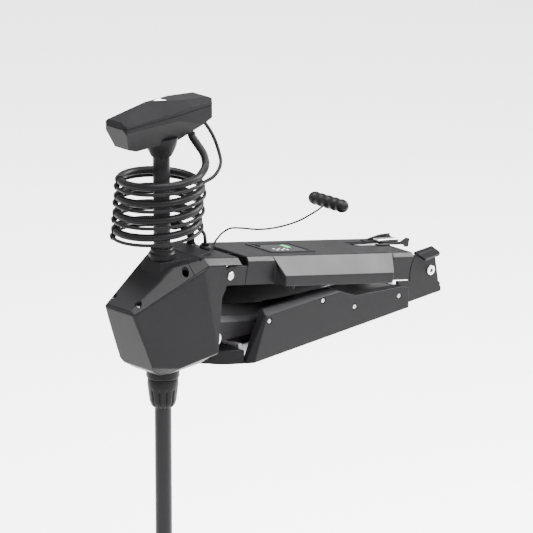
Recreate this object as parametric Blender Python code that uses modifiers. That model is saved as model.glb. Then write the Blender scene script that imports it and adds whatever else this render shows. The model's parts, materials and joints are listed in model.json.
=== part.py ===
"""Bow-mount electric trolling motor, deployed.

World frame, metres: +X towards the bow, +Y to port, +Z up. The origin is the centre of the mount base's
underside, on the deck. The arm's hinge is at the rear, and the steering housing hangs on the arm's front end.
"""

import math

import bmesh
import bpy
from mathutils import Matrix, Vector

# Driving dimensions
ORIGIN_AHEAD = 0.255  # from the rear pivot to the origin
PIVOT_Z = 0.050
ARM_LENGTH = 0.555
ARM_SLOPE = math.radians(12.98)
LINK_REAR = Vector((-0.189, 0, 0.020))
LINK_FRONT = Vector((0.320, 0, 0.060))
SHAFT_X = 0.397
SHAFT_RADIUS = 0.0155
SHAFT_TOP = 0.432
POD_AXIS_Z = -0.875
POD_RADIUS = 0.045
PROPELLER_RADIUS = 0.135
BASE_HALF_WIDTH = 0.060
COVER_HALF_WIDTH = 0.084
BRACKET_OUTER_Y = 0.064
WALL = 0.003
GAP = 0.0003
DISPLAY_REAR = 0.300
DISPLAY_FRONT = 0.420
COIL_RADIUS = 0.074
COIL_TURNS = 3.73
COIL_PITCH = 0.0315
COIL_TOP_Z = 0.386
POWER_CABLE_DIAMETER = 0.014
DATA_CABLE_DIAMETER = 0.0064
PULL_CABLE_DIAMETER = 0.0036

REAR_PIVOT = Vector((-ORIGIN_AHEAD, 0, PIVOT_Z))
ALONG_ARM = Vector((math.cos(ARM_SLOPE), 0, math.sin(ARM_SLOPE)))
FRONT_PIVOT = REAR_PIVOT + ARM_LENGTH * ALONG_ARM
LINK_VECTOR = LINK_FRONT - LINK_REAR
LINK_LENGTH = LINK_VECTOR.length
LINK_SLOPE = math.atan2(LINK_VECTOR.z, LINK_VECTOR.x)

# colour (linear), roughness, metallic
FINISHES = {
    "black_paint": ((0.045, 0.044, 0.047), 0.45, 0.2),
    "black_plastic": ((0.030, 0.029, 0.031), 0.55, 0.0),
    "stainless": ((0.62, 0.62, 0.61), 0.28, 1.0),
    "aluminium": ((0.50, 0.50, 0.51), 0.38, 1.0),
    "black_rubber": ((0.018, 0.018, 0.019), 0.75, 0.0),
    "display_lens": ((0.020, 0.022, 0.024), 0.12, 0.0),
    "white_marking": ((0.75, 0.75, 0.75), 0.5, 0.0),
    "green_light": ((0.08, 0.62, 0.22), 0.4, 0.0),
    "white_nylon": ((0.82, 0.82, 0.80), 0.5, 0.0),
    "bronze": ((0.45, 0.27, 0.11), 0.4, 1.0),
    "copper_winding": ((0.55, 0.20, 0.08), 0.35, 1.0),
    "circuit_board": ((0.02, 0.12, 0.05), 0.5, 0.0),
    "composite": ((0.025, 0.025, 0.028), 0.35, 0.0),
}


def clear_scene():
    for item in list(bpy.data.objects):
        bpy.data.objects.remove(item, do_unlink=True)


def new_collection(name):
    collection = bpy.data.collections.new(name)
    bpy.context.scene.collection.children.link(collection)
    return collection


def make_materials():
    made = {}
    for name, (colour, roughness, metallic) in FINISHES.items():
        material = bpy.data.materials.new(name)
        material.use_nodes = True
        shader = material.node_tree.nodes["Principled BSDF"]
        shader.inputs["Base Color"].default_value = (*colour, 1)
        shader.inputs["Roughness"].default_value = roughness
        shader.inputs["Metallic"].default_value = metallic
        made[name] = material
    return made


def frame(name, location, slope=0.0, parent=None):
    """An empty whose local X runs up a slope; parts are placed in its axes."""
    empty = bpy.data.objects.new(name, None)
    empty.location = location
    empty.rotation_euler = (0, -slope, 0)
    empty.parent = parent
    empty.empty_display_size = 0.03
    PARTS.objects.link(empty)
    return empty


def keep(name, mesh, finish, parent, location=(0, 0, 0), rotation=(0, 0, 0), smooth=False):
    """Adds a mesh to the object as a named sub-part."""
    mesh.name = name
    part = bpy.data.objects.new(name, mesh)
    PARTS.objects.link(part)
    part.parent = parent
    part.location = location
    part.rotation_euler = rotation
    mesh.materials.clear()
    mesh.materials.append(MATERIALS[finish])
    if smooth:
        for face in mesh.polygons:
            face.use_smooth = True
        mesh.set_sharp_from_angle(angle=math.radians(35))
    return part


def cutter(name, mesh, target, operation="DIFFERENCE"):
    """A hidden tool body, in the target's own axes, and the Boolean that uses it."""
    tool = bpy.data.objects.new(name, mesh)
    CUTTERS.objects.link(tool)
    tool.parent = target
    tool.hide_render = True
    tool.display_type = "WIRE"
    modifier = target.modifiers.new(name, "BOOLEAN")
    modifier.operation = operation
    modifier.solver = "EXACT"
    modifier.object = tool
    return tool


def bevel(part, width, segments=1):
    modifier = part.modifiers.new("Bevel", "BEVEL")
    modifier.width = width
    modifier.segments = segments
    modifier.limit_method = "ANGLE"
    modifier.angle_limit = math.radians(30)
    return part


def to_mesh(builder):
    mesh = bpy.data.meshes.new("mesh")
    bmesh.ops.recalc_face_normals(builder, faces=builder.faces)
    builder.to_mesh(mesh)
    builder.free()
    return mesh


def joined(meshes):
    """Several separate solids in one mesh, such as a set of screws."""
    builder = bmesh.new()
    for mesh in meshes:
        builder.from_mesh(mesh)
    return to_mesh(builder)


def moved(mesh, location=(0, 0, 0), axis=None, angle=0.0):
    if axis:
        mesh.transform(Matrix.Rotation(angle, 4, axis))
    mesh.transform(Matrix.Translation(Vector(location)))
    return mesh


def on_side(mesh, side):
    """The mesh as it is for the port side, or mirrored to starboard."""
    if side < 0:
        mesh.transform(Matrix.Scale(-1, 4, (0, 1, 0)))
        mesh.flip_normals()
    return mesh


def block(low, high):
    """A box between two corners."""
    builder = bmesh.new()
    bmesh.ops.create_cube(builder, size=1.0)
    size = Vector(high) - Vector(low)
    bmesh.ops.scale(builder, vec=size, verts=builder.verts)
    bmesh.ops.translate(builder, vec=(Vector(high) + Vector(low)) / 2, verts=builder.verts)
    return to_mesh(builder)


def sliced(mesh, planes, inset=0.0):
    """A solid cut back by planes, each a point and an outward normal; inset moves the planes inwards."""
    builder = bmesh.new()
    builder.from_mesh(mesh)
    for point, normal in planes:
        normal = Vector(normal).normalized()
        geometry = builder.verts[:] + builder.edges[:] + builder.faces[:]
        cut = bmesh.ops.bisect_plane(
            builder,
            geom=geometry,
            dist=1e-6,
            plane_co=Vector(point) - inset * normal,
            plane_no=normal,
            clear_outer=True,
        )
        edges = [item for item in cut["geom_cut"] if isinstance(item, bmesh.types.BMEdge)]
        if edges:
            bmesh.ops.contextual_create(builder, geom=edges)
    bmesh.ops.remove_doubles(builder, verts=builder.verts, dist=1e-6)
    return to_mesh(builder)


def carved(low, high, planes, inset=0.0):
    """A box between two corners, cut back by planes."""
    return sliced(block(low, high), planes, inset)


def both_sides(planes):
    """The same planes on the port side and, mirrored, on the starboard side."""
    mirrored = [((x, -y, z), (nx, -ny, nz)) for (x, y, z), (nx, ny, nz) in planes]
    return list(planes) + mirrored


def outline_solid(outline, start, end, axis):
    """A filled outline extruded from start to end along an axis.

    Its points are (x, z) for axis Y, (y, z) for axis X and (x, y) for axis Z.
    """
    curve = bpy.data.curves.new("outline", "CURVE")
    curve.dimensions = "2D"
    curve.fill_mode = "BOTH"
    curve.extrude = (end - start) / 2
    spline = curve.splines.new("POLY")
    spline.points.add(len(outline) - 1)
    for point, (u, v) in zip(spline.points, outline):
        point.co = (u, v, 0, 1)
    spline.use_cyclic_u = True
    holder = bpy.data.objects.new("outline", curve)
    bpy.context.scene.collection.objects.link(holder)
    bpy.context.view_layer.update()
    mesh = bpy.data.meshes.new_from_object(holder.evaluated_get(bpy.context.evaluated_depsgraph_get()))
    bpy.data.objects.remove(holder, do_unlink=True)
    builder = bmesh.new()
    builder.from_mesh(mesh)
    bmesh.ops.remove_doubles(builder, verts=builder.verts, dist=1e-5)
    mesh = to_mesh(builder)
    middle = (start + end) / 2
    if axis == "Y":
        mesh.transform(Matrix.Rotation(math.radians(90), 4, "X"))
        mesh.transform(Matrix.Translation((0, middle, 0)))
    elif axis == "X":
        mesh.transform(Matrix(((0, 0, 1, middle), (1, 0, 0, 0), (0, 1, 0, 0), (0, 0, 0, 1))))
    else:
        mesh.transform(Matrix.Translation((0, 0, middle)))
    return mesh


def turned(profile, sides=32, axis="Z", centre=(0, 0, 0)):
    """A closed (radius, height) profile turned round an axis with the Screw modifier."""
    builder = bmesh.new()
    points = [builder.verts.new((radius, 0, height)) for radius, height in profile]
    for first, second in zip(points, points[1:] + points[:1]):
        if first.co.x > 1e-6 or second.co.x > 1e-6:
            builder.edges.new((first, second))
    line = bpy.data.meshes.new("profile")
    builder.to_mesh(line)
    builder.free()
    holder = bpy.data.objects.new("profile", line)
    bpy.context.scene.collection.objects.link(holder)
    screw = holder.modifiers.new("Screw", "SCREW")
    screw.axis = "Z"
    screw.angle = math.tau
    screw.steps = sides
    screw.render_steps = sides
    screw.use_merge_vertices = True
    screw.merge_threshold = 0.00005
    bpy.context.view_layer.update()
    mesh = bpy.data.meshes.new_from_object(holder.evaluated_get(bpy.context.evaluated_depsgraph_get()))
    bpy.data.objects.remove(holder, do_unlink=True)
    builder = bmesh.new()
    builder.from_mesh(mesh)
    bmesh.ops.remove_doubles(builder, verts=builder.verts, dist=1e-5)
    mesh = to_mesh(builder)
    turn = {"X": ("Y", math.radians(90)), "Y": ("X", math.radians(-90)), "Z": ("Z", 0.0)}[axis]
    return moved(mesh, centre, *turn)


def rod(radius, start, end, sides=24, axis="Z", centre=(0, 0, 0)):
    return turned([(0, end), (radius, end), (radius, start), (0, start)], sides, axis, centre)


def ring(inner, outer, start, end, sides=32, axis="Z", centre=(0, 0, 0)):
    return turned([(inner, end), (outer, end), (outer, start), (inner, start)], sides, axis, centre)


def tube(points, radius, resolution=2):
    """A round tube that follows a line of points."""
    curve = bpy.data.curves.new("tube", "CURVE")
    curve.dimensions = "3D"
    curve.bevel_depth = radius
    curve.bevel_resolution = resolution
    curve.use_fill_caps = True
    spline = curve.splines.new("POLY")
    spline.points.add(len(points) - 1)
    for point, place in zip(spline.points, points):
        point.co = (*place, 1)
    holder = bpy.data.objects.new("tube", curve)
    bpy.context.scene.collection.objects.link(holder)
    bpy.context.view_layer.update()
    mesh = bpy.data.meshes.new_from_object(holder.evaluated_get(bpy.context.evaluated_depsgraph_get()))
    bpy.data.objects.remove(holder, do_unlink=True)
    builder = bmesh.new()
    builder.from_mesh(mesh)
    bmesh.ops.remove_doubles(builder, verts=builder.verts, dist=1e-6)
    return to_mesh(builder)


def smooth_line(points, spacing):
    """Evenly spaced points on a Catmull-Rom curve through the given ones."""
    points = [Vector(point) for point in points]
    ends = [2 * points[0] - points[1]] + points + [2 * points[-1] - points[-2]]
    fine = []
    for a, b, c, d in zip(ends, ends[1:], ends[2:], ends[3:]):
        for step in range(20):
            t = step / 20
            fine.append(
                0.5 * (2 * b + (c - a) * t + (2 * a - 5 * b + 4 * c - d) * t * t + (3 * b - a - 3 * c + d) * t**3)
            )
    fine.append(points[-1])
    kept = [fine[0]]
    for point in fine:
        if (point - kept[-1]).length >= spacing:
            kept.append(point)
    kept[-1] = fine[-1]
    return kept


def arc(centre, radius, start, end, steps):
    """Points on an arc from start to end degrees."""
    turns = [math.radians(start + (end - start) * step / steps) for step in range(steps + 1)]
    return [(centre[0] + radius * math.cos(a), centre[1] + radius * math.sin(a)) for a in turns]


# --- mount base -------------------------------------------------------------------------------------------


def base_frame(parent):
    """A channel that lies on the deck; the lower link folds into it."""
    wall, floor, height = 0.005, 0.006, 0.030
    half = BASE_HALF_WIDTH - 0.0025
    section = [
        (-half, 0), (half, 0), (half, height), (half - wall, height), (half - wall, floor),
        (-half + wall, floor), (-half + wall, height), (-half, height),
    ]
    part = keep("base_frame", outline_solid(section, -0.286, 0.258, "X"), "aluminium", parent)
    low_rear = outline_solid([(-0.30, 0.012), (-0.255, 0.012), (-0.205, 0.04), (-0.30, 0.04)], -0.1, 0.1, "Y")
    cutter("base_rear_slope", low_rear, part)
    for x in (-0.225, -0.09, 0.06, 0.21):
        for y in (-0.035, 0.035):
            cutter("deck_hole", rod(0.0045, -0.01, 0.02, 12, centre=(x, y, 0)), part)
    cutter("link_pin_hole", rod(0.0063, -0.1, 0.1, 16, "Y", LINK_REAR), part)
    cutter("base_rear_notch", block((-0.30, -0.045, -0.01), (-0.243, 0.045, 0.05)), part)
    cutter("base_front_wall", block((0.250, -0.0575, 0.0), (0.258, 0.0575, 0.034)), part, "UNION")


def nose_cap(parent):
    """The rounded toe of the base, ahead of the side covers."""
    rear = 0.2588
    outline = [(rear, -0.072), (0.284, -0.052), (0.300, -0.034)]
    outline += arc((0.284, 0), 0.032, -52, 52, 8)
    outline += [(0.300, 0.034), (0.284, 0.052), (rear, 0.072)]
    part = keep("nose_cap", outline_solid(outline, 0, 0.027, "Z"), "black_paint", parent)
    bevel(part, 0.003)


COVER_BOLTS = [(0.205, 0.072), (0.062, 0.075), (-0.024, 0.041), (-0.146, 0.031)]


def side_cover(name, side, parent):
    """A moulded skin along one side of the base, open towards the frame."""
    profile = [
        (-0.174, 0.0005), (0.2584, 0.0005), (0.210, 0.0930), (0.033, 0.0890),
        (0.022, 0.0850), (-0.026, 0.0620), (-0.156, 0.0470), (-0.174, 0.0400),
    ]
    inner = [
        (-0.171, -0.01), (0.2585, -0.01), (0.2070, 0.0898), (0.033, 0.0860),
        (0.024, 0.0820), (-0.025, 0.0588), (-0.156, 0.0440), (-0.171, 0.0370),
    ]
    toe = [((0.242, COVER_HALF_WIDTH, 0.007), (0.575, 0.784, 0.233))]
    outer_skin = sliced(outline_solid(profile, 0.0645, COVER_HALF_WIDTH, "Y"), toe)
    hollow = sliced(outline_solid(inner, 0.0550, COVER_HALF_WIDTH - WALL, "Y"), toe, WALL)
    holes = joined([rod(0.0030, 0.05, 0.1, 12, "Y", (x, 0, z)) for x, z in COVER_BOLTS])
    part = keep(name, on_side(outer_skin, side), "black_plastic", parent)
    cutter(name + "_hollow", on_side(hollow, side), part)
    cutter(name + "_bolt_holes", on_side(holes, side), part)


def rear_bracket(name, side, parent):
    """A pivot plate on one side of the base, with a sloped rest pad for the folded arm on top."""
    outline = [
        (-0.286, 0.0005), (-0.164, 0.0005), (-0.164, 0.0500), (-0.1980, 0.0425),
    ]
    outline += arc((REAR_PIVOT.x, REAR_PIVOT.z), 0.0568, -6, 42, 6)
    outline += [
        (-0.226, 0.0900), (-0.262, 0.0900), (-0.270, 0.0700), (-0.279, 0.0220), (-0.284, 0.0180), (-0.284, 0.0120),
        (-0.286, 0.0090),
    ]
    plate = on_side(outline_solid(outline, 0.058, BRACKET_OUTER_Y, "Y"), side)
    part = keep(name, plate, "black_paint", parent)
    pad = [(-0.2200, 0.0), (-0.2700, 0.0)] + [(-0.2700 + 0.008 * (1 - math.cos(a)), 0.020 + 0.008 * math.sin(a))
                                             for a in (0.0, 0.8, 1.57)] + [(-0.2240, 0.028)]
    pad_mesh = outline_solid(pad, -0.005, 0.0, "Z")
    pad_mesh.transform(Matrix.Rotation(math.radians(-18), 4, "X"))
    pad_mesh.transform(Matrix.Translation((0, 0.0537, 0.0925)))
    cutter(name + "_pad", on_side(pad_mesh, side), part, "UNION")
    cutter(name + "_pivot_hole", rod(0.0065, -0.08, 0.08, 20, "Y", REAR_PIVOT), part)


def stow_axles(parent):
    """The stub axles that the arm and the lower link turn on; the middle stays open for the folding link."""
    for name, side in (("port", 1), ("starboard", -1)):
        body = on_side(rod(0.0060, 0.0425, 0.0645, 20, "Y", REAR_PIVOT), side)
        axle = keep("stow_axle_" + name, body, "stainless", parent, smooth=True)
        stub = on_side(rod(0.0039, 0.0600, 0.0670, 6, "Y", REAR_PIVOT), side)
        cutter("axle_end_" + name, stub, axle, "UNION")
        washer = on_side(ring(0.0042, 0.0090, 0.0650, 0.0675, 24, "Y", REAR_PIVOT), side)
        keep("stow_washer_" + name, washer, "white_nylon", parent, smooth=True)
        pin = on_side(rod(0.0060, 0.0410, 0.0574, 16, "Y", LINK_REAR), side)
        keep("link_rear_pin_" + name, pin, "stainless", parent, smooth=True)


# --- folding arm ------------------------------------------------------------------------------------------


def arm_shell(parent):
    """The upper arm's casting, open underneath, with its wide faceted flanks."""
    chamfer = Vector((0, 33, 27)).normalized()
    planes = both_sides([((0, 0.057, 0.034), chamfer)])
    part = keep(
        "upper_arm_shell",
        carved((0.052, -0.064, -0.018), (0.513, 0.064, 0.034), planes),
        "black_paint",
        parent,
    )
    flank = both_sides([
        ((0, 0.057, 0.034), chamfer),
        ((0.4395, 0.064, 0.0250), (0.90, 0.41, -0.13)),
        ((0.1127, 0.064, 0.0254), (-0.84, 0.54, 0.0)),
    ])
    wide = carved((0.100, -0.084, -0.018), (0.480, 0.084, 0.034), flank)
    cutter("arm_flanks", wide, part, "UNION")
    inner = both_sides([((0, 0.057, 0.034), chamfer)])
    narrow_hollow = carved((0.03, -0.061, -0.05), (0.56, 0.061, 0.0305), inner, 0.0035)
    cutter("arm_hollow", narrow_hollow, part)
    wide_hollow = carved((0.112, -0.0805, -0.05), (0.436, 0.0805, 0.0305), flank, 0.0035)
    cutter("arm_flank_hollow", wide_hollow, part)
    window = block((DISPLAY_REAR - GAP, -0.0345, 0.02), (DISPLAY_FRONT + GAP, 0.0345, 0.05))
    cutter("display_opening", window, part)
    cutter("lever_slot", block((0.04, -0.032, 0.02), (0.150, -0.004, 0.05)), part)
    cutter("arm_rear_arc", rod(0.0585, -0.1, 0.1, 48, "Y"), part)


def arm_fork(parent):
    """Side plates at the arm's front end that carry the steering housing's hinge."""
    tip = arc((ARM_LENGTH, 0), 0.018, 78, -90, 10)
    root = [(0.470, 0.018), (0.555, 0.018)] + tip + [(0.470, -0.018)]
    skin = [(0.5133, 0.018), (0.555, 0.018)] + tip + [(0.5133, -0.018)]
    for name, side in (("arm_fork_port", 1), ("arm_fork_starboard", -1)):
        part = keep(name, on_side(outline_solid(root, 0.0568, 0.0607, "Y"), side), "black_paint", parent)
        cutter(name + "_skin", on_side(outline_solid(skin, 0.0600, 0.0640, "Y"), side), part, "UNION")
        cutter(name + "_hole", rod(0.0049, -0.09, 0.09, 20, "Y", (ARM_LENGTH, 0, 0)), part)


def arm_lugs(parent):
    """The rear lugs that turn on the stow axle, joined by a bridge under the arm's top."""
    lug = [(0.150, 0.0268), (0.036, 0.0268)] + arc((0, 0), 0.017, 60, 300, 12) + [(0.060, -0.014), (0.150, -0.014)]
    part = keep("arm_rear_yoke", outline_solid(lug, 0.0440, 0.0500, "Y"), "aluminium", parent)
    other = outline_solid(lug, -0.0500, -0.0440, "Y")
    cutter("yoke_starboard", other, part, "UNION")
    cutter("yoke_bridge", block((0.1000, -0.0450, 0.0225), (0.1490, 0.0450, 0.0267)), part, "UNION")
    cutter("yoke_hole", rod(0.0064, -0.09, 0.09, 20, "Y"), part)


def front_hinge(parent):
    """The bolts that carry the steering housing on the arm's fork."""
    for name, side in (("front_hinge_bolt_port", 1), ("front_hinge_bolt_starboard", -1)):
        bolt = turned([(0, 0.0022), (0.006, 0.0022), (0.0078, 0.0010), (0.0078, 0), (0.0045, 0),
                       (0.0045, -0.0150), (0, -0.0150)], 20)
        bolt.transform(Matrix.Rotation(math.radians(-90), 4, "X"))
        bolt.transform(Matrix.Translation((ARM_LENGTH, 0.0643, 0)))
        keep(name, on_side(bolt, side), "stainless", parent, smooth=True)


def display(parent):
    """The status panel set in the arm's top, with its lamps and power button."""
    rear, front = DISPLAY_REAR, DISPLAY_FRONT
    button_at = (front - 0.0200, -0.0200, 0)
    bezel = keep("display_bezel", block((rear, -0.0340, 0.0285), (front, 0.0340, 0.0352)), "black_plastic", parent)
    cutter("bezel_window", block((rear + 0.008, -0.0290, 0.0305), (front - 0.008, 0.0290, 0.05)), bezel)
    cutter("button_hole", rod(0.0056, 0.02, 0.05, 20, centre=button_at), bezel)
    glass = block((rear + 0.0083, -0.0287, 0.0308), (front - 0.0083, 0.0287, 0.0344))
    lens = keep("display_lens", glass, "display_lens", parent)
    cutter("lens_button_hole", rod(0.0060, 0.02, 0.05, 20, centre=button_at), lens)
    button = turned([(0, 0.0358), (0.0042, 0.0358), (0.0050, 0.0352), (0.0050, 0.0300), (0, 0.0300)], 20)
    keep("power_button", button, "black_rubber", parent, location=button_at, smooth=True)


def release_lever(parent):
    """The pull-to-release latch lever on the arm's rear end, with its bracket."""
    guard = [(0.0800, 0.0346), (0.0740, 0.0385), (0.0300, 0.0472), (0.0180, 0.0472), (0.0060, 0.0400),
             (0.0060, 0.0346)]
    lug = [(0.0620, 0.0346), (0.0560, 0.0365), (0.0220, 0.0400), (0.0060, 0.0478), (-0.0020, 0.0465),
           (-0.0020, 0.0300), (0.0080, 0.0300), (0.0120, 0.0346)]
    bracket = keep("release_bracket", outline_solid(guard, -0.0390, -0.0360, "Y"), "black_paint", parent)
    cutter("bracket_side", outline_solid(lug, -0.0030, 0.0000, "Y"), bracket, "UNION")
    cutter("bracket_floor", block((0.0060, -0.0380, 0.0343), (0.0620, -0.0010, 0.0359)), bracket, "UNION")
    cutter("bracket_foot", block((0.0560, -0.0430, 0.0343), (0.0900, 0.0040, 0.0359)), bracket, "UNION")
    cutter("bracket_clear", block((0.0650, -0.0310, 0.0330), (0.0950, -0.0050, 0.0370)), bracket)
    lever = [(0.0000, -0.0035), (0.0380, -0.0030), (0.0550, -0.0015), (0.0550, 0.0020), (0.0380, 0.0030),
             (0.0000, 0.0035), (-0.0045, 0.0015), (-0.0045, -0.0020)]
    body = keep("release_lever", outline_solid(lever, -0.0070, 0.0070, "Y"), "stainless", parent,
                location=(0.0180, -0.0195, 0.0400))
    bevel(body, 0.0012, 2)


# --- lower link -------------------------------------------------------------------------------------------


def lower_link(parent):
    """The lower arm, a channel open underneath, that keeps the steering housing level.

    It turns on the housing's pin; its rear hole sits round the pins in the base.
    """
    tip = LINK_LENGTH + 0.009
    top = [(0.0, 0.0065), (0.280, 0.0085), (tip - 0.021, 0.0380), (tip - 0.009, 0.0370), (tip, 0.0200)]
    outline = top + [(tip, -0.0085), (tip - 0.008, -0.0112), (0.480, -0.0112), (0.250, -0.0090), (0.0, -0.0080)]
    outline += arc((0, 0), 0.0080, 250, 110, 8)
    part = keep("lower_link", outline_solid(outline, -0.048, 0.048, "Y"), "black_paint", parent,
                location=(-LINK_LENGTH, 0, 0))
    plan = [(-0.02, -0.040), (0.240, -0.040), (0.290, -0.048), (0.53, -0.048), (0.53, 0.048), (0.290, 0.048),
            (0.240, 0.040), (-0.02, 0.040)]
    cutter("link_plan", outline_solid(plan, -0.03, 0.06, "Z"), part, "INTERSECT")
    wedge = carved((0.28, 0.0, -0.05), (0.56, 0.07, 0.08), [((0.5, 0.0375, 0.0380), (0.093, -0.72, -0.69))])
    cutter("link_chamfer_port", wedge, part)
    other = carved((0.28, -0.07, -0.05), (0.56, 0.0, 0.08), [((0.5, -0.0375, 0.0380), (0.093, 0.72, -0.69))])
    cutter("link_chamfer_starboard", other, part)
    hollow = [(0.016, 0.0035), (0.280, 0.0050), (0.470, 0.0300), (0.560, 0.0300), (0.560, -0.03), (0.016, -0.03)]
    cutter("link_hollow", outline_solid(hollow, -0.0360, 0.0360, "Y"), part)
    cutter("link_rear_hole", rod(0.0064, -0.06, 0.06, 16, "Y"), part)
    cutter("link_front_hole", rod(0.0064, -0.06, 0.06, 16, "Y", (LINK_LENGTH, 0, 0)), part)


# --- steering housing (axes: origin on the shaft's axis, at deck height) ------------------------------------

SIDE_NORMAL = (0.2094, 0.9770, -0.0414)
HOUSING_LOW = (-0.135, -0.072, 0.015)
HOUSING_HIGH = (0.110, 0.072, 0.240)
SEAM_PEAK = (-0.048, 0.211)
TAN_ARM = math.tan(ARM_SLOPE)


def housing_planes():
    port = both_sides([
        ((-0.048, 0.072, 0.150), SIDE_NORMAL),
        ((-0.048, 0.072, 0.211), (-0.2246, 1.0, 1.0)),
        ((-0.048, 0.072, 0.211), (0.422, 0.773, 0.634)),
        ((0.0645, 0.0366, 0.0305), (0.28, 0.70, -0.62)),
        ((-0.050, 0.0600, 0.0300), (0.0, 0.60, -0.80)),
        ((0.110, 0.034, 0.147), (0.80, 0.55, -0.26)),
    ])
    middle = [
        ((-0.048, 0, 0.224), (-TAN_ARM, 0, 1)),
        ((-0.048, 0, 0.224), (0.158, 0, 1)),
        ((0.009, 0, 0.215), (0.598, 0, 1)),
        ((0.110, 0, 0.147), (0.932, 0, -0.363)),
        ((0.0645, 0, 0.0305), (0.55, 0, -0.83)),
    ]
    return port + middle


def lower_region(inset=0.0):
    """Side outline of everything below the housing's seam."""
    lift = -inset
    return [
        (-0.200, SEAM_PEAK[1] - TAN_ARM * 0.152 + lift), (SEAM_PEAK[0], SEAM_PEAK[1] + lift),
        (0.106, 0.149 + lift), (0.150, 0.149 + lift), (0.150, -0.05), (-0.200, -0.05),
    ]


def pedestal_solid():
    """The raised seat round the shaft on the upper cover."""
    low = (-0.0845, -0.046, 0.196)
    high = (0.034, 0.046, 0.2225)
    return carved(low, high, both_sides([
        ((0.026, 0.020, 0.2225), (0.33, 0.94, 0.25)),
        ((0, 0.040, 0.2225), (0, 0.97, 0.25)),
    ]) + [((0.0250, 0, 0.2225), (0.95, 0, 0.30))])


def upper_cover(parent):
    part = keep("housing_upper_cover", carved(HOUSING_LOW, HOUSING_HIGH, housing_planes()), "black_plastic", parent)
    cutter("cover_pedestal", pedestal_solid(), part, "UNION")
    cutter("cover_seam", outline_solid(lower_region(-0.0003), -0.1, 0.1, "Y"), part)
    inner = carved((-0.131, -0.068, 0.0), (0.106, 0.068, 0.236), housing_planes(), 0.004)
    cutter("cover_hollow", inner, part)
    cutter("cover_shaft_hole", rod(0.0235, 0.1, 0.3, 32), part)
    notch = outline_solid([(-0.150, 0.10), (-0.150, 0.190), (-0.131, 0.2035), (-0.131, 0.10)], -0.0615, 0.0615, "Y")
    cutter("cover_rear_mouth", notch, part)
    for x, y in CABLE_EXITS:
        cutter("gland_hole", rod(0.0085, 0.15, 0.3, 16, centre=(x, y, 0)), part)
    for x, y, z in HOUSING_SCREWS:
        cutter("screw_pocket", rod(0.0062, -0.012, 0.03, 12, centre=(x, y, z)), part)
    outlet = moved(rod(0.0056, -0.02, 0.02, 16), PULL_EXIT - Vector((SHAFT_X, 0, 0)), "Y", PULL_EXIT_TURN)
    cutter("pull_cable_outlet", outlet, part)


PULL_EXIT = Vector((0.2640, -0.009, 0.2010))
PULL_EXIT_TURN = math.radians(-43)
CABLE_EXITS = [(-0.096, -0.022), (-0.113, -0.002)]
HOUSING_SCREWS = [(0.092, 0.031, 0.1640), (0.092, -0.031, 0.1640), (-0.006, 0.053, 0.1985), (-0.006, -0.053, 0.1985)]


def lower_case(parent):
    part = keep("housing_lower_case", carved(HOUSING_LOW, HOUSING_HIGH, housing_planes()), "black_plastic", parent)
    cutter("case_seam", outline_solid(lower_region(), -0.1, 0.1, "Y"), part, "INTERSECT")
    rear = [(-0.20, -0.05), (-0.0690, -0.05), (-0.0690, 0.020), (-0.0720, 0.051), (-0.0810, 0.143)]
    rear += [(-0.0900, 0.155), (-0.0925, 0.165), (-0.0925, 0.30), (-0.20, 0.30)]
    cutter("case_rear_outline", outline_solid(rear, -0.1, 0.1, "Y"), part)
    inner_planes = housing_planes()
    inner = carved((-0.0525, -0.068, 0.019), (0.106, 0.068, 0.30), inner_planes, 0.004)
    cutter("case_hollow", inner, part)
    cutter("case_rear_recess", block((-0.16, -0.0645, -0.02), (-0.0560, 0.0645, 0.30)), part)
    cutter("case_shaft_hole", rod(0.0235, -0.05, 0.1, 32), part)


def housing_bracket(parent):
    """The cast bracket at the housing's back: lugs for the front hinge above and for the lower link below."""
    fx, fz = FRONT_PIVOT.x - SHAFT_X, FRONT_PIVOT.z
    gx, gz = LINK_FRONT.x - SHAFT_X, LINK_FRONT.z
    upper = [(-0.0565, 0.130), (-0.0565, 0.196), (-0.080, 0.194)] + arc((fx, fz), 0.015, 75, 250, 10)
    upper += [(-0.085, 0.150), (-0.070, 0.130)]
    lower = [(-0.0565, 0.030), (-0.0565, 0.094), (-0.072, 0.090)] + arc((gx, gz), 0.014, 60, 270, 10)
    lower += [(-0.072, 0.034)]
    plate = block((-0.0620, -0.0560, 0.028), (-0.0565, 0.0560, 0.196))
    part = keep("housing_bracket", plate, "aluminium", parent)
    for side in (1, -1):
        near, far = sorted((side * 0.0500, side * 0.0560))
        cutter("bracket_upper_lug", outline_solid(upper, near, far, "Y"), part, "UNION")
        cutter("bracket_lower_lug", outline_solid(lower, near, far, "Y"), part, "UNION")
        lower_skin = sorted((side * 0.0555, side * 0.0600))
        cutter("bracket_outer_lug", outline_solid(lower, *lower_skin, "Y"), part, "UNION")
    cutter("bracket_front_hinge_hole", rod(0.0049, -0.09, 0.09, 20, "Y", (fx, 0, fz)), part)
    cutter("bracket_link_hole", rod(0.0064, -0.09, 0.09, 20, "Y", (gx, 0, gz)), part)
    cutter("bracket_window", block((-0.08, -0.040, 0.045), (-0.04, 0.040, 0.150)), part)
    for name, side in (("link_front_pin_port", 1), ("link_front_pin_starboard", -1)):
        pin = turned([(0, 0.0022), (0.005, 0.0022), (0.0070, 0.0008), (0.0070, 0), (0.0060, 0),
                      (0.0060, -0.0180), (0, -0.0180)], 16)
        pin.transform(Matrix.Rotation(math.radians(-90), 4, "X"))
        pin.transform(Matrix.Translation((gx, 0.0603, gz)))
        keep(name, on_side(pin, side), "stainless", parent, smooth=True)


def gear_outline(teeth, tip, root):
    points = []
    for tooth in range(teeth):
        for share, radius in ((0.0, root), (0.3, root), (0.45, tip), (0.8, tip)):
            angle = math.tau * (tooth + share) / teeth
            points.append((radius * math.cos(angle), radius * math.sin(angle)))
    return points


PINION_X = 0.0508


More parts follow.
